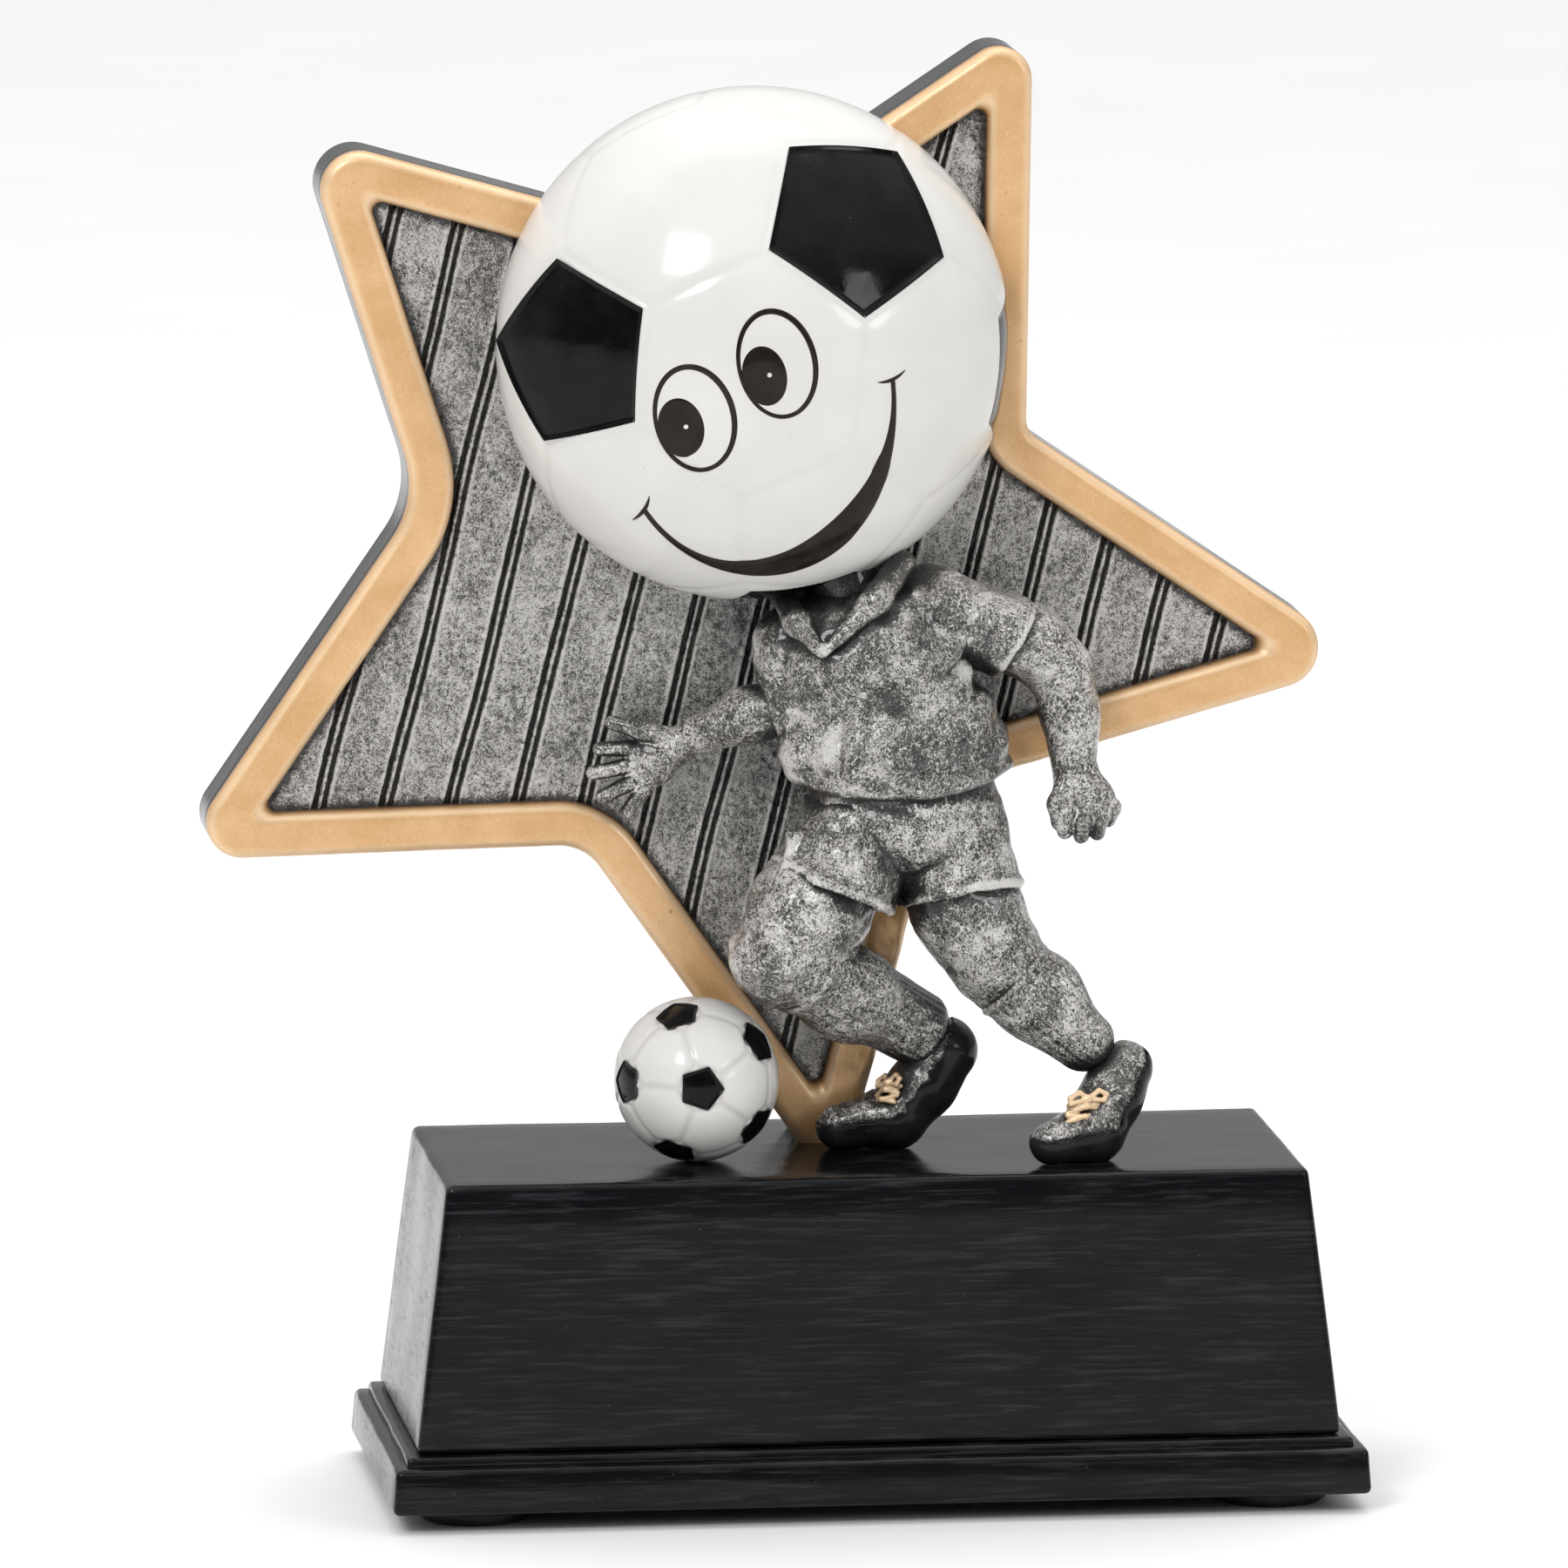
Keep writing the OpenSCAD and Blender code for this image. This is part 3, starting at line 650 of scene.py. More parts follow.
def football_planes(pentagon_far):
    """Face directions of a football and how far out each face lies: 12 then 20."""
    corners = [(0, s, t * GOLDEN) for s in (-1, 1) for t in (-1, 1)]
    pent = unit(np.array([np.roll(c, k) for c in corners for k in range(3)]))
    hexes = []
    for i in range(12):
        for j in range(i + 1, 12):
            for k in range(j + 1, 12):
                trio = pent[[i, j, k]]
                if min(trio[0] @ trio[1], trio[1] @ trio[2], trio[0] @ trio[2]) > 0.4:
                    hexes.append(unit(trio.sum(0)))
    hexes = np.array(hexes)
    return pent, hexes, np.r_[np.full(12, pentagon_far), np.full(20, 2.267)]


def turn_to(pole, neighbour):
    """Rotation that takes one patch to pole and its neighbour towards neighbour."""
    pent = football_planes(1)[0]
    a = pent[0]
    b = pent[np.argsort(-(pent @ a))[1]]

    def basis(p, q):
        p = unit(p)
        q = unit(q - (np.asarray(q) @ p) * p)
        return np.stack([p, q, np.cross(p, q)], 1)

    return basis(pole, neighbour) @ basis(a, b).T


def seam_gap(directions, planes, far):
    """Angle-like distance from each direction to the nearest seam."""
    score = directions @ (planes / far[:, None]).T
    order = np.argpartition(-score, 2, axis=1)[:, :2]
    top = np.take_along_axis(score, order, 1)
    flip = top[:, 1] > top[:, 0]
    order[flip] = order[flip][:, ::-1]
    top[flip] = top[flip][:, ::-1]
    normal = planes[order[:, 0]] / far[order[:, 0], None] - planes[order[:, 1]] / far[order[:, 1], None]
    return (top[:, 0] - top[:, 1]) / np.linalg.norm(normal, axis=1)


def ball_directions(level):
    bm = bmesh.new()
    bmesh.ops.create_icosphere(bm, subdivisions=level, radius=1)
    bm.verts.ensure_lookup_table()
    directions = np.array([v.co[:] for v in bm.verts])
    faces = np.array([[v.index for v in f.verts] for f in bm.faces])
    bm.free()
    return unit(directions), faces


def patch_grid(corners, rings=16, steps=14):
    """Directions over a pentagon with the given corner directions, ring by ring."""
    mid = unit(corners.sum(0))
    edge = []
    for i in range(5):
        t = np.arange(steps)[:, None] / steps
        edge.append(corners[i] * (1 - t) + corners[(i + 1) % 5] * t)
    edge = unit(np.vstack(edge))
    share = np.r_[np.linspace(0, 0.86, rings - 6), 0.9, 0.935, 0.96, 0.98, 0.992, 1.0]
    points = np.vstack([unit(mid * (1 - s) + edge * s) for s in share])
    return points, np.repeat(share, len(edge)), grid_faces(len(share), len(edge), wrap_cols=True)


def pentagon_corners(centre, neighbours, size):
    """Corner directions of the patch at centre; size is its corner angle in radians."""
    out = []
    for k in range(5):
        between = neighbours[k] + neighbours[(k + 1) % 5]
        side = unit(between - (between @ centre) * centre)
        out.append(centre * math.cos(size) + side * math.sin(size))
    return np.array(out)


def aimed_pentagon(turn, tilt, spin, size):
    """Corner directions of a patch: turned from the front, tilted up, spun; in degrees."""
    turn, tilt, size = np.radians((turn, tilt, size))
    centre = np.array([
        math.sin(turn) * math.cos(tilt), -math.cos(turn) * math.cos(tilt), math.sin(tilt)
    ])
    right = np.array([math.cos(turn), math.sin(turn), 0])
    up = np.cross(right, centre) * (-1 if np.cross(right, centre)[2] < 0 else 1)
    angles = np.radians(spin + 72 * np.arange(5))[:, None]
    side = right * np.cos(angles) + up * np.sin(angles)
    return centre * math.cos(size) + side * math.sin(size)


def pentagon_share(d, corners):
    """0 at the middle of the pentagon, 1 at its edge, more outside, for directions d."""
    mid = unit(corners.sum(0))
    facing = d @ mid
    flat = d / np.maximum(facing, 0.2)[:, None] - mid
    tips = corners / (corners @ mid)[:, None] - mid
    share = np.zeros(len(d))
    for i in range(5):
        edge = (tips[i] + tips[(i + 1) % 5]) / 2
        out = unit(np.cross(tips[(i + 1) % 5] - tips[i], mid))
        out = out * np.sign(out @ edge)
        share = np.maximum(share, (flat @ out) / (tips[i] @ out))
    return np.where(facing > 0.25, share, 9)


def ring_round(centre, others):
    """The five nearest other patches, in turning order."""
    near = others[np.argsort(-(others @ centre))[1:6]]
    x = unit(near[0] - (near[0] @ centre) * centre)
    y = np.cross(centre, x)
    angle = np.arctan2(near @ y, near @ x)
    return near[np.argsort(angle)]


SMALL_C = np.array([(BALL_LO[0] + BALL_HI[0]) / 2, (BALL_LO[1] + BALL_HI[1]) / 2, 35.7])
SMALL_R = (BALL_HI[0] - BALL_LO[0]) / 2 - 0.01
SMALL_PATCH = math.radians(16.2)
SMALL_SEAM = 0.15
SMALL_SEAT = 0.34
SMALL_PATCH_SINK = 0.16


def small_ball():
    pent, hexes, far = football_planes(2.39)
    spin = turn_to((-0.05, -0.996, 0.05), (-0.27, -0.43, 0.86))
    pent, hexes = pent @ spin.T, hexes @ spin.T
    d, faces = ball_directions(6)
    gap = seam_gap(d, np.vstack([pent, hexes]), far)
    hollow = np.exp(-((gap * SMALL_R / 0.24) ** 2))
    patches = [pentagon_corners(c, ring_round(c, pent), SMALL_PATCH) for c in pent]
    seat = np.max([smooth_step((0.99 - pentagon_share(d, c)) / 0.1) for c in patches], axis=0)
    r = SMALL_R - SMALL_SEAM * hollow - SMALL_SEAT * seat
    verts = SMALL_C + d * r[:, None]
    verts[:, 2] = np.maximum(verts[:, 2], BASE_TOP - 0.02)
    # painted shade in the seams and a painted contact shadow where the ball meets the plinth top
    hollow = np.clip(hollow * 0.8 + 0.9 * np.exp(-((verts[:, 2] - BASE_TOP) / 0.5) ** 2), 0, 1)
    make_piece(
        "ball_shell", verts, faces, BALL_WHITE, ["small_ball"], "ball_white", {"hollow": hollow}
    )
    all_v, all_f, start = [], [], 0
    for corners in patches:
        points, share, patch_faces = patch_grid(corners)
        if (SMALL_C + points * SMALL_R)[:, 2].min() < BASE_TOP - 0.6:
            continue
        sink = SMALL_PATCH_SINK * smooth_step((1 - share) / 0.14) - 0.02
        p = SMALL_C + points * (SMALL_R - sink)[:, None]
        p[:, 2] = np.maximum(p[:, 2], BASE_TOP)
        all_v.append(p)
        all_f.append(patch_faces + start)
        start += len(p)
    make_piece(
        "ball_patches", np.vstack(all_v), np.vstack(all_f), BALL_BLACK,
        ["small_ball_patches"], "ball_black",
    )


# The cast head is a touch larger than the CAD ball and sits a little further right.
CAD_HEAD_R = 21.4
HEAD_R = 21.6
HEAD_RIGHT = 0.8
HEAD_HALF_D = 17.5
FACE_R = 25.6
HEAD_C = np.array([
    HEAD_LO[0] + CAD_HEAD_R + HEAD_RIGHT, HEAD_LO[1] + HEAD_HALF_D, HEAD_HI[2] - CAD_HEAD_R,
])


def head_reach(d):
    """Distance from the head's middle to its skin along each direction."""
    drop = FACE_R - HEAD_HALF_D
    rim_r = (HEAD_R ** 2 + drop ** 2 - FACE_R ** 2) / (2 * (HEAD_R - FACE_R))
    rim_x = HEAD_R - rim_r
    across = np.hypot(d[:, 0], d[:, 2])
    along = np.abs(d[:, 1])
    # broad arc, centred behind the middle
    b = along * drop
    broad = -b + np.sqrt(b ** 2 + FACE_R ** 2 - drop ** 2)
    # tight arc round the rim
    c = across * rim_x
    rim = c + np.sqrt(np.maximum(c ** 2 + rim_r ** 2 - rim_x ** 2, 0))
    meet = np.array([FACE_R * rim_x, FACE_R * drop]) / (FACE_R - rim_r) - np.array([0, drop])
    return np.where(along * meet[0] > across * meet[1], broad, rim)


def head_skin(offsets):
    """Points on the face for (x, z) offsets from the head's middle."""
    drop = FACE_R - HEAD_HALF_D
    y = drop - np.sqrt(FACE_R ** 2 - offsets[:, 0] ** 2 - offsets[:, 1] ** 2)
    return HEAD_C + np.stack([offsets[:, 0], y, offsets[:, 1]], 1)


def head_normals(points):
    arc_c = HEAD_C + np.array([0, FACE_R - HEAD_HALF_D, 0])
    return unit(points - arc_c)


# Head patches: (turn from the front, tilt up, spin, corner angle) in degrees. The two
# on the brow are aimed from the middle of the face's arc, the rest from the head's middle:
# one on the right-hand rim, one under the chin and one on the back of the crown.
BROW_PATCHES = [(-41.6, 1.5, 32, 18.4), (18.7, 28, 48.5, 19)]
RIM_PATCHES = [(87.5, -5, 0, 21), (78, -80, 60, 21), (180, 62, 0, 20)]


HEAD_SEAM = 0.07
HEAD_SEAT = 0.5
HEAD_PATCH_SINK = 0.24


def head_ball():
    arc_c = HEAD_C + np.array([0, FACE_R - HEAD_HALF_D, 0])
    brow = [aimed_pentagon(*p) for p in BROW_PATCHES]
    rim = [aimed_pentagon(*p) for p in RIM_PATCHES]
    pent, hexes, far = football_planes(2.327)
    spin = turn_to(unit(brow[1].sum(0)), unit(brow[0].sum(0)))
    pent, hexes = pent @ spin.T, hexes @ spin.T
    d, faces = ball_directions(8)
    skin = HEAD_C + d * head_reach(d)[:, None]
    aim = unit(skin - arc_c)
    gap = seam_gap(aim, np.vstack([pent, hexes]), far)
    share = np.min([pentagon_share(aim, c) for c in brow], axis=0)
    rim_share = np.min([pentagon_share(d, c) for c in rim], axis=0)
    behind_face = smooth_step((aim[:, 1] + 0.35) / 0.2)
    seam = np.exp(-((gap * FACE_R / 0.55) ** 2)) * smooth_step((share - 1) / 0.08)
    seam = seam * (1 - behind_face) * smooth_step((rim_share - 1) / 0.08)
    seat = smooth_step((0.99 - np.minimum(share, rim_share)) / 0.05)
    verts = HEAD_C + d * (head_reach(d) - HEAD_SEAM * seam - HEAD_SEAT * seat)[:, None]
    verts[:, 1] = np.minimum(verts[:, 1], STAR_BACK - 0.02)
    # painted shade along the seams and round the rims of the patch pockets
    lip = np.exp(-(((np.minimum(share, rim_share) - 1) / 0.012) ** 2))
    make_piece(
        "head_shell", verts, faces, BALL_WHITE, ["head_ball"], "ball_white",
        {"hollow": np.clip(seam * 0.12 + lip * 0.8, 0, 1)},
    )
    parts = []
    for corners in brow + rim:
        on_brow = any(corners is c for c in brow)
        points, share, patch_faces = patch_grid(corners, 20, 22)
        if on_brow:
            target, origin = arc_c + points * FACE_R, arc_c
        else:
            target, origin = HEAD_C + points * head_reach(points)[:, None], HEAD_C
        sink = HEAD_PATCH_SINK * smooth_step((1 - share) / 0.07) - 0.02
        sink = sink + 0.1 * smooth_step((1 - share) / 0.5) * wave(target, 3.0, 61)
        p = target - unit(target - origin) * np.maximum(sink, -0.02)[:, None]
        p[:, 1] = np.minimum(p[:, 1], STAR_BACK - 0.01)
        parts.append((p, patch_faces))
    make_piece(
        "head_black_patches", *join(parts), BALL_BLACK, ["head_patches"], "ball_black"
    )


def brush_line(path, half_width, rise, closed=False):
    """A film of paint along a flat path on the face, domed across its width."""
    ahead = np.roll(path, -1, axis=0) - np.roll(path, 1, axis=0)
    if not closed:
        ahead[0], ahead[-1] = path[1] - path[0], path[-1] - path[-2]
    side = unit(np.stack([-ahead[:, 1], ahead[:, 0]], 1))
    across = np.linspace(-1, 1, 9)
    rows = []
    for s in across:
        points = head_skin(path + side * (half_width * s)[:, None])
        height = rise * (1 - s ** 4) - 0.02
        rows.append(points + head_normals(points) * height)
    verts = np.stack(rows, 1).reshape(-1, 3)
    return verts, grid_faces(len(path), len(across), wrap_rows=closed)


def tilted_oval(centre, rx, rz, tilt, steps=72):
    t = np.arange(steps) * 2 * math.pi / steps
    x, z = rx * np.cos(t), rz * np.sin(t)
    c, s = math.cos(tilt), math.sin(tilt)
    return np.stack([centre[0] + x * c - z * s, centre[1] + x * s + z * c], 1)


def painted_oval(centre, size, share, rise, roundness, sink):
    """A domed film of paint; size is its half width, half height and tilt."""
    rx, rz, tilt = size
    flat = [tilted_oval(centre, rx * s + 1e-4, rz * s + 1e-4, tilt) for s in share]
    points = head_skin(np.vstack(flat))
    height = rise * (1 - np.repeat(share, len(flat[0])) ** roundness) - sink
    faces = grid_faces(len(share), len(flat[0]), wrap_cols=True)
    return points + head_normals(points) * height[:, None], faces


EYE_TILT = math.radians(13)


def join(parts):
    verts, faces, start = [], [], 0
    for v, f in parts:
        verts.append(v)
        faces.append(np.asarray(f) + start)
        start += len(v)
    return np.vstack(verts), np.vstack(faces)


def face_paint():
    rings = []
    for centre in ((-6.8, -4.15), (-0.1, 0.45)):
        path = tilted_oval(centre, 3.15, 4.45, EYE_TILT)
        thick = 0.23 + 0.05 * np.sin(np.arange(len(path)) * 2 * math.pi / len(path) + 1.0)
        rings.append(brush_line(path, thick, 0.09, closed=True))
    toward = {"front": (0, -1, 0)}
    make_piece("eye_rings", *join(rings), LINE_PAINT, ["eye_outlines"], "ball_black", **toward)
    discs, glints = [], []
    for centre in ((-7.9, -4.9), (-1.15, -0.5)):
        share = np.r_[np.linspace(0, 0.9, 10), 0.95, 0.98, 1.0]
        discs.append(painted_oval(centre, (1.9, 2.6, EYE_TILT), share, 0.12, 6, 0.02))
        spot = (centre[0] + 0.4, centre[1] + 0.1)
        share = np.array([0, 0.5, 0.85, 1.0])
        glints.append(painted_oval(spot, (0.27, 0.27, 0), share, 0.15, 4, 0))
    make_piece("eye_pupils", *join(discs), LINE_PAINT, ["pupils"], "ball_black", **toward)
    make_piece("eye_glints", *join(glints), BALL_WHITE, (), "ball_white", **toward)
    a = np.radians(np.linspace(219, 369, 110))
    t = np.linspace(0, 1, len(a))
    path = np.stack([-1.6 + 11.5 * np.cos(a), -3.4 + 14.1 * np.sin(a)], 1)
    thick = 0.22 + 1.15 * np.clip(np.sin(math.pi * t ** 1.25), 0, 1) ** 2.6
    strokes = [brush_line(path, thick, 0.1)]
    for end, lean in ((path[0], 1.1), (path[-1], 0.35)):
        s = np.linspace(-1, 1, 14)
        tick = np.stack([
            end[0] + 1.3 * s * math.cos(lean) - 0.3 * s ** 2 * math.sin(lean),
            end[1] + 1.3 * s * math.sin(lean) + 0.3 * s ** 2 * math.cos(lean),
        ], 1)
        strokes.append(brush_line(tick, 0.16 * (1.15 - s ** 2), 0.07))
    make_piece("smile_line", *join(strokes), LINE_PAINT, ["smile"], "ball_black", **toward)


# ---------------- player
# Each part is a distance function: negative inside, in millimetres.


def limb(p, a, b, ra, rb):
    a, b = np.asarray(a, float), np.asarray(b, float)
    d = b - a
    t = np.clip(((p - a) @ d) / (d @ d), 0, 1)
    return np.linalg.norm(p - a - t[..., None] * d, axis=-1) - (ra + (rb - ra) * t)


def egg(p, centre, radii):
    q = (p - centre) / np.asarray(radii, float)
    near = np.linalg.norm(q, axis=-1)
    return near * (near - 1) / np.maximum(np.linalg.norm(q / radii, axis=-1), 1e-6)


def melt(a, b, soft):
    """Union with a soft join."""
    h = np.clip(0.5 + 0.5 * (b - a) / soft, 0, 1)
    return b + (a - b) * h - soft * h * (1 - h)


def carve(a, b, soft):
    """a without the outside of b, with a soft edge."""
    return -melt(-a, -b, soft)


def crumple(d, p, deep, deep_size, fine, fine_size, seed):
    """The form d with broad dents and finer ones over its surface."""
    return d + deep * wave(p, deep_size, seed) + fine * wave(p, fine_size, seed + 1)


def beyond(p, point, normal):
    """Positive on the side that the normal points to."""
    return (p - np.asarray(point, float)) @ unit(normal)


def chain(p, points, radii, soft=0.5):
    d = None
    for i in range(len(points) - 1):
        part = limb(p, points[i], points[i + 1], radii[i], radii[i + 1])
        d = part if d is None else melt(d, part, soft)
    return d


def around(p, a, b):
    """Angle round the axis from a to b, and share of the way along it."""
    axis = unit(np.asarray(b, float) - a)
    side = unit(np.cross(axis, (0.3, -1, 0.2)))
    up = np.cross(axis, side)
    rel = p - np.asarray(a, float)
    length = np.linalg.norm(np.asarray(b, float) - a)
    return np.arctan2(rel @ up, rel @ side), (rel @ axis) / length


SHOULDER_L, ELBOW_L = np.array([-6.2, -3.5, 72.2]), np.array([-6.5, -3.4, 66.9])
WRIST_L, PALM_L = np.array([-13.6, -0.4, 64.2]), np.array([-16.8, 0.9, 62.1])
SHOULDER_R, SLEEVE_R = np.array([7.0, -3.2, 74.3]), np.array([12.3, -3.0, 72.4])
ELBOW_R, WRIST_R = np.array([16.9, -3.0, 69.4]), np.array([17.9, -4.0, 61.6])
PALM_R = np.array([18.3, -4.4, 59.2])
HIP_F, KNEE_F = np.array([-1.5, -4.5, 54.4]), np.array([-7.4, -7.6, 46.5])
SOCK_F, ANKLE_F = np.array([-5.6, -6.6, 45.4]), np.array([4.6, -1.2, 39.2])
HIP_R, KNEE_R = np.array([6.6, -4.0, 54.0]), np.array([11.0, -4.8, 45.6])
SOCK_R, ANKLE_R = np.array([12.4, -5.0, 43.8]), np.array([18.4, -5.8, 38.4])


def folds(p, lines, width):
    """How close p is to any of the fold lines: 1 on a line, 0 away from it."""
    near = 0
    for line in lines:
        near = np.maximum(near, np.exp(-(((chain(p, line, (0, 0, 0), 0.01)) / (width * 1.6)) ** 2)))
    return near


def jersey_body(p):
    d = egg(p, (0.6, -3.6, 70.6), (7.9, 6.1, 6.6))
    d = melt(d, egg(p, (3.3, -4.0, 64.0), (8.6, 6.4, 6.4)), 2.5)
    d = melt(d, limb(p, (-4.0, -3.0, 72.6), (6.2, -2.7, 74.8), 3.3, 3.7), 2.0)
    d = melt(d, egg(p, (3.4, -3.8, 60.8), (8.9, 6.5, 3.2)), 1.6)
    d = melt(d, limb(p, (-4.6, -4.4, 71.0), (-4.4, -4.6, 63.5), 2.6, 2.8), 1.2)
    d = d - 0.8 * folds(p, [
        [(9.0, -6.5, 73.6), (4.5, -9.0, 70.0), (-1.5, -9.4, 67.6)],
        [(10.0, -6.0, 71.0), (6.0, -9.0, 67.6), (0.5, -10.3, 65.2)],
        [(10.6, -6.0, 67.6), (7.0, -9.4, 64.8), (2.0, -10.4, 62.6)],
        [(11.0, -6.0, 64.0), (8.0, -8.8, 62.2), (4.0, -10.0, 61.4)],
        [(-5.6, -6.4, 70.0), (-4.0, -8.4, 66.4), (-3.4, -8.8, 62.6)],
        [(-2.6, -9.0, 70.4), (-1.4, -9.8, 66.6), (-1.8, -9.8, 62.4)],
    ], 0.75)
    return crumple(d, p, 0.34, 2.4, 0.15, 1.0, 31)


def hem_height(p):
    return 59.6 + 1.3 * ((p[..., 0] - 1.5) / 9) ** 2


def jersey(p):
    cut = hem_height(p) - p[..., 2]
    lip = np.exp(-((cut + 0.6) / 0.45) ** 2) * 0.22
    return carve(jersey_body(p) - lip, cut, 0.35)


def neck(p):
    return limb(p, (0.4, -3.0, 73.0), (-2.2, -2.2, 79.5), 3.4, 3.2)


def collar(p):
    left = chain(p, [(-6.6, -3.5, 76.2), (-6.0, -7.2, 74.6), (-4.0, -9.0, 72.2)], (1.0, 1.1, 0.5), 0.8)
    right = chain(p, [(3.2, -4.5, 79.0), (0.6, -7.8, 76.4), (-3.6, -9.2, 72.6)], (1.2, 1.25, 0.5), 0.8)
    back = chain(p, [(-6.6, -3.5, 76.2), (-3.0, -0.6, 78.0), (3.2, -1.0, 78.8)], (1.1, 1.2, 1.2), 0.8)
    d = melt(melt(left, right, 0.4), back, 0.6)
    return d + 0.08 * wave(p, 1.2, 33)


def sleeve_left(p):
    d = limb(p, SHOULDER_L, ELBOW_L + (0.4, -0.3, 0), 3.1, 2.7)
    d = melt(d, limb(p, ELBOW_L, (-7.8, -2.9, 66.5), 2.75, 2.6), 0.9)
    d = d - 0.35 * folds(p, [[(-7.6, -5.4, 71.5), (-6.6, -6.2, 68.8), (-6.2, -6.0, 66.0)]], 0.5)
    d = carve(d, beyond(p, (-7.6, -2.7, 66.2), (-0.93, 0.1, -0.35)), 0.3)
    return crumple(d, p, 0.2, 2.0, 0.08, 0.9, 34)


def sleeve_right(p):
    d = limb(p, SHOULDER_R, SLEEVE_R, 3.8, 3.35)
    d = d - 0.4 * folds(p, [[(5.0, -6.2, 75.0), (9.0, -6.4, 72.6), (12.4, -5.8, 71.0)]], 0.6)
    ring = limb(p, SLEEVE_R, SLEEVE_R + 0.9 * unit(ELBOW_R - SLEEVE_R), 3.55, 3.5)
    d = melt(d, ring, 0.5)
    d = carve(d, beyond(p, SLEEVE_R + 0.7 * unit(ELBOW_R - SLEEVE_R), ELBOW_R - SLEEVE_R), 0.25)
    return crumple(d, p, 0.18, 2.0, 0.08, 0.9, 36)


def arm_left(p):
    d = chain(p, [ELBOW_L, (-9.6, -2.2, 66.0), WRIST_L], (2.35, 2.35, 1.6), 0.8)
    return d + 0.08 * wave(p, 1.3, 38)


def arm_right(p):
    d = chain(p, [SLEEVE_R, (14.8, -3.0, 71.5), ELBOW_R], (3.0, 2.9, 2.6), 0.8)
    d = melt(d, chain(p, [ELBOW_R, (17.6, -3.4, 66.0), WRIST_R], (2.7, 2.45, 1.95), 0.8), 0.8)
    return d + 0.09 * wave(p, 1.5, 39)


def fingers(p, palm_end, knuckles, tips, r):
    d = None
    for knuckle, tip in zip(knuckles, tips):
        part = chain(p, [palm_end, knuckle, tip], (r * 1.1, r, r * 0.85), 0.2)
        d = part if d is None else melt(d, part, 0.22)
    return d


def hand_left(p):
    d = limb(p, WRIST_L, PALM_L, 1.4, 1.75)
    d = melt(d, egg(p, (-17.3, 0.8, 61.9), (2.2, 1.5, 2.3)), 0.6)
    knuckles = [(-19.3, 0.6, 63.0), (-19.4, 0.4, 61.5), (-19.0, 0.3, 60.2), (-18.0, 0.2, 59.6)]
    tips = [(-21.6, 1.1, 62.9), (-22.2, 0.9, 60.9), (-21.4, 0.8, 58.9), (-19.4, 0.6, 57.6)]
    d = melt(d, fingers(p, PALM_L, knuckles, tips, 0.72), 0.35)
    thumb = chain(p, [(-15.2, -0.2, 63.8), (-18.2, -0.2, 64.6), (-20.6, 0.6, 65.2)], (0.95, 0.8, 0.62))
    return melt(d, thumb, 0.4) + 0.04 * wave(p, 0.9, 40)


def hand_right(p):
    d = limb(p, WRIST_R, PALM_R, 1.9, 2.2)
    d = melt(d, egg(p, (18.6, -4.6, 58.6), (2.7, 1.9, 2.4)), 0.6)
    knuckles = [(17.0, -6.0, 57.8), (18.3, -6.1, 57.2), (19.7, -5.6, 57.2), (20.9, -4.9, 58.0)]
    tips = [(16.9, -5.4, 56.2), (18.3, -5.3, 55.8), (19.7, -4.9, 56.0), (20.7, -4.4, 57.0)]
    d = melt(d, fingers(p, PALM_R, knuckles, tips, 0.82), 0.3)
    thumb = chain(p, [(17.0, -5.4, 60.4), (16.2, -6.0, 58.6), (16.3, -5.6, 57.0)], (0.9, 0.85, 0.65))
    return melt(d, thumb, 0.35) + 0.04 * wave(p, 0.9, 41)


def shorts(p):
    d = egg(p, (3.3, -3.8, 57.2), (8.5, 6.1, 5.4))
    d = melt(d, egg(p, (3.3, -3.8, 60.5), (7.6, 5.4, 3.0)), 1.5)
    return crumple(d, p, 0.3, 2.2, 0.14, 1.0, 42)


def shorts_leg_front(p):
    d = limb(p, (-0.2, -3.9, 57.0), (-3.4, -6.0, 50.8), 5.0, 5.6)
    hem = beyond(p, (-3.1, -6.0, 51.8), (-0.42, -0.1, -0.9))
    d = d - 0.25 * np.exp(-((hem + 0.5) / 0.4) ** 2)
    d = carve(d, hem, 0.3)
    d = melt(d, chain(p, [(-6.4, -7.4, 56.5), (-7.2, -8.4, 53.2)], (0.5, 0.55), 0.5), 0.6)
    return crumple(d, p, 0.24, 2.2, 0.1, 1.0, 44)


def shorts_leg_rear(p):
    d = limb(p, (7.0, -3.8, 57.0), (8.3, -4.2, 50.6), 5.0, 5.3)
    hem = beyond(p, (8.4, -4.2, 51.6), (0.12, 0.0, -0.99)) - 0.03 * (p[..., 0] - 9) ** 2
    d = d - 0.25 * np.exp(-((hem + 0.5) / 0.4) ** 2)
    d = carve(d, hem, 0.3)
    return crumple(d, p, 0.22, 2.2, 0.1, 1.0, 46)


def thigh_front(p):
    d = chain(p, [HIP_F, (-4.8, -6.4, 50.2), KNEE_F], (4.7, 4.9, 4.1), 1.0)
    d = melt(d, egg(p, (-8.2, -10.0, 46.9), (2.3, 2.0, 2.4)), 1.0)
    d = melt(d, limb(p, KNEE_F, SOCK_F + (1.6, 0.8, -0.9), 4.0, 3.7), 1.0)
    return crumple(d, p, 0.2, 2.0, 0.11, 0.9, 48)


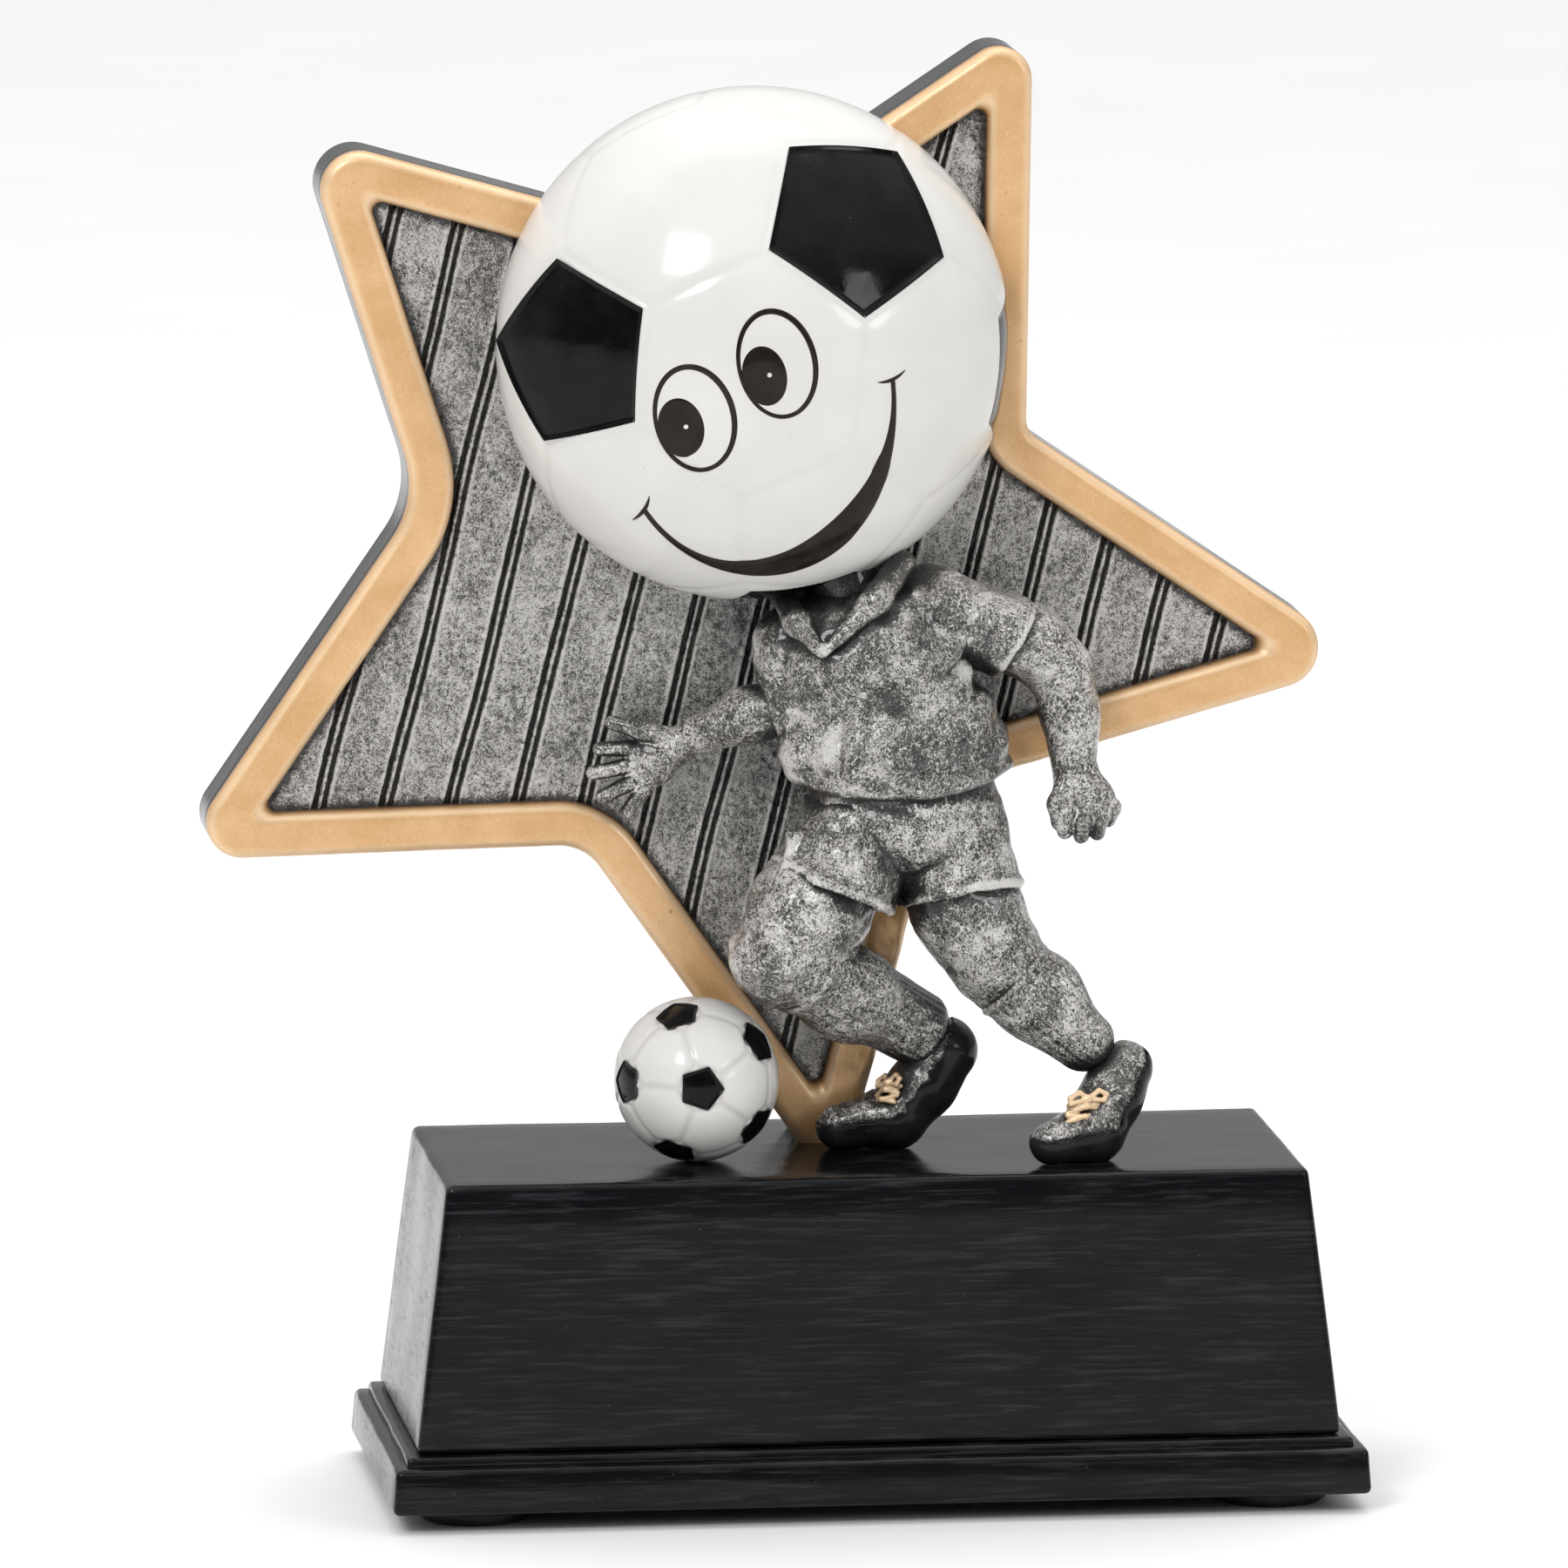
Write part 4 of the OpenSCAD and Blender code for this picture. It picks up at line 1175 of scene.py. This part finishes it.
def thigh_rear(p):
    d = chain(p, [HIP_R, (8.9, -4.4, 49.6), KNEE_R], (4.7, 4.5, 3.9), 1.0)
    d = melt(d, egg(p, (10.6, -7.6, 45.9), (2.2, 1.8, 2.4)), 1.0)
    d = melt(d, limb(p, KNEE_R, SOCK_R + (1.2, 0, -1.2), 3.9, 3.5), 1.0)
    return crumple(d, p, 0.2, 2.0, 0.11, 0.9, 50)


def sock(p, top, ankle, r_top, r_ankle, belly, ribs, seed):
    a, b = np.asarray(top), np.asarray(ankle)
    angle, share = around(p, a, b)
    d = limb(p, a, b, r_top, r_ankle)
    d = melt(d, egg(p, a + (b - a) * 0.38 + belly, (r_top, r_top, r_top)), 1.4)
    d = d - 0.11 * np.abs(np.cos(angle * ribs / 2)) * smooth_step(share * 8)
    turned = np.exp(-((share - 0.04) / 0.045) ** 2) * 0.3
    d = carve(d - turned, -share * np.linalg.norm(b - a) - 0.3, 0.4)
    return d + 0.12 * wave(p, 1.8, seed)


def sock_front(p):
    return sock(p, SOCK_F, ANKLE_F, 3.9, 3.1, np.array([0.2, 0.6, -0.5]), 26, 52)


def sock_rear(p):
    return sock(p, SOCK_R, ANKLE_R, 3.55, 2.55, np.array([0.4, 0.5, 0.3]), 24, 53)


def sole_shift(p, toe, heel):
    """How far the upper sits above the sole: one shift at the toe, another at the heel."""
    t = smooth_step((p[..., 2:] - 31) / 3)
    return np.asarray(toe) * (1 - t) + np.asarray(heel) * t


def footwear(last, radii, toe, heel, seam, seed):
    """Distance functions of an upper, with a stitched seam across it, and of its sole."""
    def whole(p):
        return chain(p, last, radii, 1.2)

    def upper(p):
        d = whole(p) + 0.16 * np.exp(-((beyond(p, *seam) / 0.2) ** 2))
        d = carve(d, whole(p - sole_shift(p, toe, heel)), 0.12)
        return crumple(d, p, 0.1, 1.4, 0.05, 0.7, seed)

    def sole(p):
        inner = 0.05 - whole(p - sole_shift(p, toe, heel))
        return carve(whole(p) - 0.14, inner, 0.1) + 0.03 * wave(p, 0.9, 58)

    return upper, sole


SHOE_FRONT, SOLE_FRONT = footwear(
    [(-1.6, -0.8, 30.7), (3.0, -0.9, 31.5), (5.5, -0.8, 34.2), (7.3, -0.6, 37.0)],
    (1.85, 2.5, 2.6, 2.75), (0, 0, 0.8), (-0.95, 0, 0.45), ((2.6, -0.8, 32.5), (0.8, 0, 0.6)), 54,
)
SHOE_REAR, SOLE_REAR = footwear(
    [(15.2, -10.3, 30.6), (18.8, -8.8, 31.3), (20.5, -7.2, 33.8), (21.9, -5.7, 36.0)],
    (1.8, 2.45, 2.45, 2.35), (0, 0, 0.95), (-0.35, -0.3, 0.5),
    ((17.4, -9.4, 32.0), (0.75, 0.3, 0.55)), 56,
)


def laces(p, centre, across, up, out, r):
    """Two crossed laces over the instep and two loops of a bow."""
    centre, across, up, out = (np.asarray(v, float) for v in (centre, across, up, out))
    d = None
    for i in range(2):
        for flip in (-1, 1):
            low, high = centre + up * (i * 0.85 - 0.3 * flip), centre + up * (i * 0.85 + 0.3 * flip)
            bar = chain(p, [low - across, centre + up * i * 0.85 + out, high + across], (r, r, r), 0.15)
            d = bar if d is None else melt(d, bar, 0.1)
    knot = centre + up * 1.5 + out
    d = melt(d, egg(p, knot, (0.42, 0.42, 0.42)), 0.15)
    for flip in (-1, 1):
        loop = [
            knot, knot + across * 0.55 * flip + up * 0.65, knot + across * 1.05 * flip + up * 0.25,
            knot + across * 0.95 * flip - up * 0.25, knot,
        ]
        d = melt(d, chain(p, loop, (r, r * 0.9, r * 0.9, r * 0.9, r), 0.1), 0.1)
    return d


def laces_front(p):
    return laces(p, (2.1, -2.7, 33.2), (0.75, -0.75, 0.2), (0.35, 0, 0.95), (-0.35, -0.3, 0.1), 0.24)


def laces_rear(p):
    return laces(p, (17.9, -10.5, 32.7), (1.5, 0.25, 0.1), (0.2, 0.3, 0.93), (0, -0.45, 0.15), 0.26)


def head_form(p):
    return egg(p, HEAD_C, (HEAD_R, HEAD_HALF_D, HEAD_R))


def small_ball_form(p):
    return np.linalg.norm(p - SMALL_C, axis=-1) - SMALL_R


# CAD node: (distance function, material, slot, grid step)
PLAYER = {}


def add_parts(material, slot, step, **forms):
    for node, form in forms.items():
        PLAYER[node] = (form, material, slot, step)


SILVER = "antique_silver"
add_parts(CLOTH_SILVER_SHADED, SILVER, 0.25, neck=neck)
add_parts(CLOTH_SILVER_SHADED, SILVER, 0.2, jersey=jersey)
add_parts(CLOTH_SILVER_SHADED, SILVER, 0.18, collar=collar)
add_parts(CLOTH_SILVER_SHADED, SILVER, 0.2, sleeve_left=sleeve_left, sleeve_right=sleeve_right)
add_parts(LEG_SILVER, SILVER, 0.18, arm_left=arm_left)
add_parts(ARM_SILVER, SILVER, 0.2, arm_right=arm_right)
add_parts(LEG_SILVER, SILVER, 0.13, hand_left=hand_left, hand_right=hand_right)
add_parts(
    LEG_SILVER, SILVER, 0.2, shorts=shorts, shorts_leg_front=shorts_leg_front,
    shorts_leg_rear=shorts_leg_rear, thigh_front=thigh_front, thigh_rear=thigh_rear,
)
add_parts(
    LEG_SILVER, SILVER, 0.15, sock_front=sock_front, sock_rear=sock_rear,
    shoe_front=SHOE_FRONT, shoe_rear=SHOE_REAR,
)
add_parts(SOLE_BLACK, "ball_black", 0.15, sole_front=SOLE_FRONT, sole_rear=SOLE_REAR)
add_parts(GOLD, "antique_gold", 0.09, laces_front=laces_front, laces_rear=laces_rear)
PIECE_NAMES = {"shorts_leg_front": "shorts_leg_near", "shorts_leg_rear": "shorts_leg_far"}
ROOM = 2.6
REACH = 3.6
COARSE = 0.35


def axes_over(lo, hi, room, step):
    return [np.arange(lo[i] - room, hi[i] + room, step) for i in range(3)]


def sample_form(form, axes):
    """Values of a distance function on the grid spanned by three axes."""
    values = np.empty([len(a) for a in axes], np.float32)
    for i in range(0, len(axes[0]), 12):
        block = np.stack(np.meshgrid(axes[0][i:i + 12], axes[1], axes[2], indexing="ij"), -1)
        values[i:i + 12] = form(block.reshape(-1, 3)).reshape(block.shape[:3])
    return values


def surroundings():
    """Distance to the nearest surface round the player, on a coarse grid, and its start; the player's
    painted shade is read from it.
    """
    boxes = [cad_box(node) for node in PLAYER]
    lo = np.min([b[0] for b in boxes], axis=0)
    hi = np.max([b[1] for b in boxes], axis=0)
    axes = axes_over(lo, hi, REACH + 1, COARSE)
    field = np.minimum(sample_form(head_form, axes), sample_form(small_ball_form, axes))
    field = np.minimum(field, axes[2][None, None, :] - BASE_TOP)
    flat = np.stack(np.meshgrid(axes[0], axes[2], indexing="ij"), -1).reshape(-1, 2)
    in_star = inside(star_outline(0), flat).reshape(len(axes[0]), 1, len(axes[2]))
    in_panel = inside(star_outline(BORDER_W), flat).reshape(in_star.shape)
    face = np.where(in_panel, PANEL_FRONT, np.where(in_star, STAR_FRONT, 1e3))
    field = np.minimum(field, face - axes[1][None, :, None])
    for entry, (low, high) in zip(PLAYER.values(), boxes):
        span = [
            slice(*np.searchsorted(axes[i], (low[i] - REACH, high[i] + REACH))) for i in range(3)
        ]
        part = sample_form(entry[0], [axes[i][span[i]] for i in range(3)])
        field[tuple(span)] = np.minimum(field[tuple(span)], part)
    return field, np.array([a[0] for a in axes])


def look_up(field, start, p):
    """Field values at points p, blended between grid points."""
    q = (p - start) / COARSE
    cell = np.clip(np.floor(q).astype(int), 0, np.array(field.shape) - 2)
    return blend_corners(field, cell, np.clip(q - cell, 0, 1))


def mesh_form(form, lo, hi, step):
    axes = axes_over(lo, hi, ROOM, step)
    values = sample_form(form, axes)
    # nothing goes under the plinth's top or behind the star's face
    values = np.maximum(values, BASE_TOP - axes[2][None, None, :])
    values = np.maximum(values, axes[1][None, :, None] - (PANEL_FRONT + 0.4))
    grid = openvdb.FloatGrid(3 * step)
    grid.copyFromArray(np.clip(values, -3 * step, 3 * step).astype(np.float32))
    verts, quads = grid.convertToQuads(isovalue=0.0)
    return verts * step + np.array([a[0] for a in axes]), quads


def vertex_normals(verts, quads):
    d = np.cross(verts[quads[:, 2]] - verts[quads[:, 0]], verts[quads[:, 3]] - verts[quads[:, 1]])
    normals = np.zeros_like(verts)
    for k in range(4):
        np.add.at(normals, quads[:, k], d)
    return unit(normals + 1e-12)


SHADE_REACHES = (0.5, 1.1, 2.2, 3.6)
RIDGE_DEPTH = 0.55


def player():
    field, start = surroundings()
    for node, (form, material, slot, step) in PLAYER.items():
        lo, hi = cad_box(node)
        verts, quads = mesh_form(form, lo, hi, step)
        normals = vertex_normals(verts, quads)
        if (form(verts + normals * 0.2) < form(verts - normals * 0.2)).mean() > 0.5:
            normals, quads = -normals, quads[:, ::-1]
        # painted shade: darker where nearby surfaces close in, such as under the head and between parts
        hollow = 0
        for reach in SHADE_REACHES:
            clear = np.clip(look_up(field, start, verts + normals * reach) / reach, 0, 1)
            hollow = hollow + (1 - clear) * 0.36
        below = form(verts - normals * RIDGE_DEPTH)
        ridge = np.clip((RIDGE_DEPTH + below) / RIDGE_DEPTH * 2.2, 0, 1)
        make_piece(
            PIECE_NAMES.get(node, "player_" + node), verts, quads, material, [node], slot,
            {"hollow": np.clip(hollow - 0.12, 0, 1), "ridge": ridge},
        )


# ---------------- camera, floor and light


def add_object(name, data, place=(0, 0, 0), target=None):
    """A new object in the scene, turned so that it looks at target."""
    obj = bpy.data.objects.new(name, data)
    obj.location = place
    if target is not None:
        aim = Vector(np.subtract(target, place))
        obj.rotation_euler = aim.to_track_quat("-Z", "Y").to_euler()
    bpy.context.scene.collection.objects.link(obj)
    return obj


def camera():
    """The viewer stands a little to the left and above, 1.4 m away."""
    azimuth, elevation, reach = math.radians(7.17), math.radians(8.73), 1400
    back = np.array([
        -math.sin(azimuth) * math.cos(elevation), -math.cos(azimuth) * math.cos(elevation),
        math.sin(elevation),
    ])
    eye = np.array([PLINTH_X, 0, 61.6]) + back * reach
    aim = np.array([PLINTH_X - 6.18, 0, 59.82])
    data = bpy.data.cameras.new("camera")
    data.lens = 382.5
    data.sensor_width = 36
    data.clip_end = 20
    bpy.context.scene.camera = add_object("camera", data, eye * MM, aim * MM)


def floor():
    half = 3.0
    corners = [(-half, -half, 0), (half, -half, 0), (half, half, 0), (-half, half, 0)]
    mesh = bpy.data.meshes.new("floor")
    mesh.from_pydata(corners, [], [(0, 1, 2, 3)])
    mesh.materials.append(floor_paper())
    add_object("floor", mesh)


def soft_light(name, place, size, power):
    data = bpy.data.lights.new(name, "AREA")
    data.shape = "RECTANGLE"
    data.size, data.size_y = size
    data.energy = power
    add_object(name, data, place, (0, 0, 0.06))


def studio():
    """A pale backdrop behind, a dim room in front, and three soft lamps."""
    world = bpy.data.worlds.new("studio")
    bpy.context.scene.world = world
    world.use_nodes = True
    tree = world.node_tree
    background = tree.nodes["Background"]
    background.inputs["Color"].default_value = (1, 1, 1, 1)
    where = tree.nodes.new("ShaderNodeTexCoord")
    split = tree.nodes.new("ShaderNodeSeparateXYZ")
    tree.links.new(where.outputs["Generated"], split.inputs[0])
    total = tree.nodes.new("ShaderNodeMath")
    for i, (axis, start, end, low, high) in enumerate((
        ("Y", -0.35, 0.35, 0.07, 0.46), ("Z", 0.15, 0.85, 0.0, 1.0)
    )):
        ramp = tree.nodes.new("ShaderNodeMapRange")
        ramp.interpolation_type = "SMOOTHSTEP"
        tree.links.new(split.outputs[axis], ramp.inputs["Value"])
        for key, value in (("From Min", start), ("From Max", end), ("To Min", low), ("To Max", high)):
            ramp.inputs[key].default_value = value
        tree.links.new(ramp.outputs["Result"], total.inputs[i])
    tree.links.new(total.outputs[0], background.inputs["Strength"])
    soft_light("key", (-0.5, -0.8, 0.75), (0.3, 0.3), 4.6)
    soft_light("fill", (0.7, -0.8, 0.4), (0.26, 0.26), 1.6)
    soft_light("top", (0.05, 0.15, 0.95), (0.7, 0.5), 2.2)
    bpy.context.scene.view_settings.view_transform = "Standard"


plinth()
bumper_feet()
star_border()
star_backing()
star_panel()
head_ball()
face_paint()
small_ball()
player()
camera()
floor()
studio()
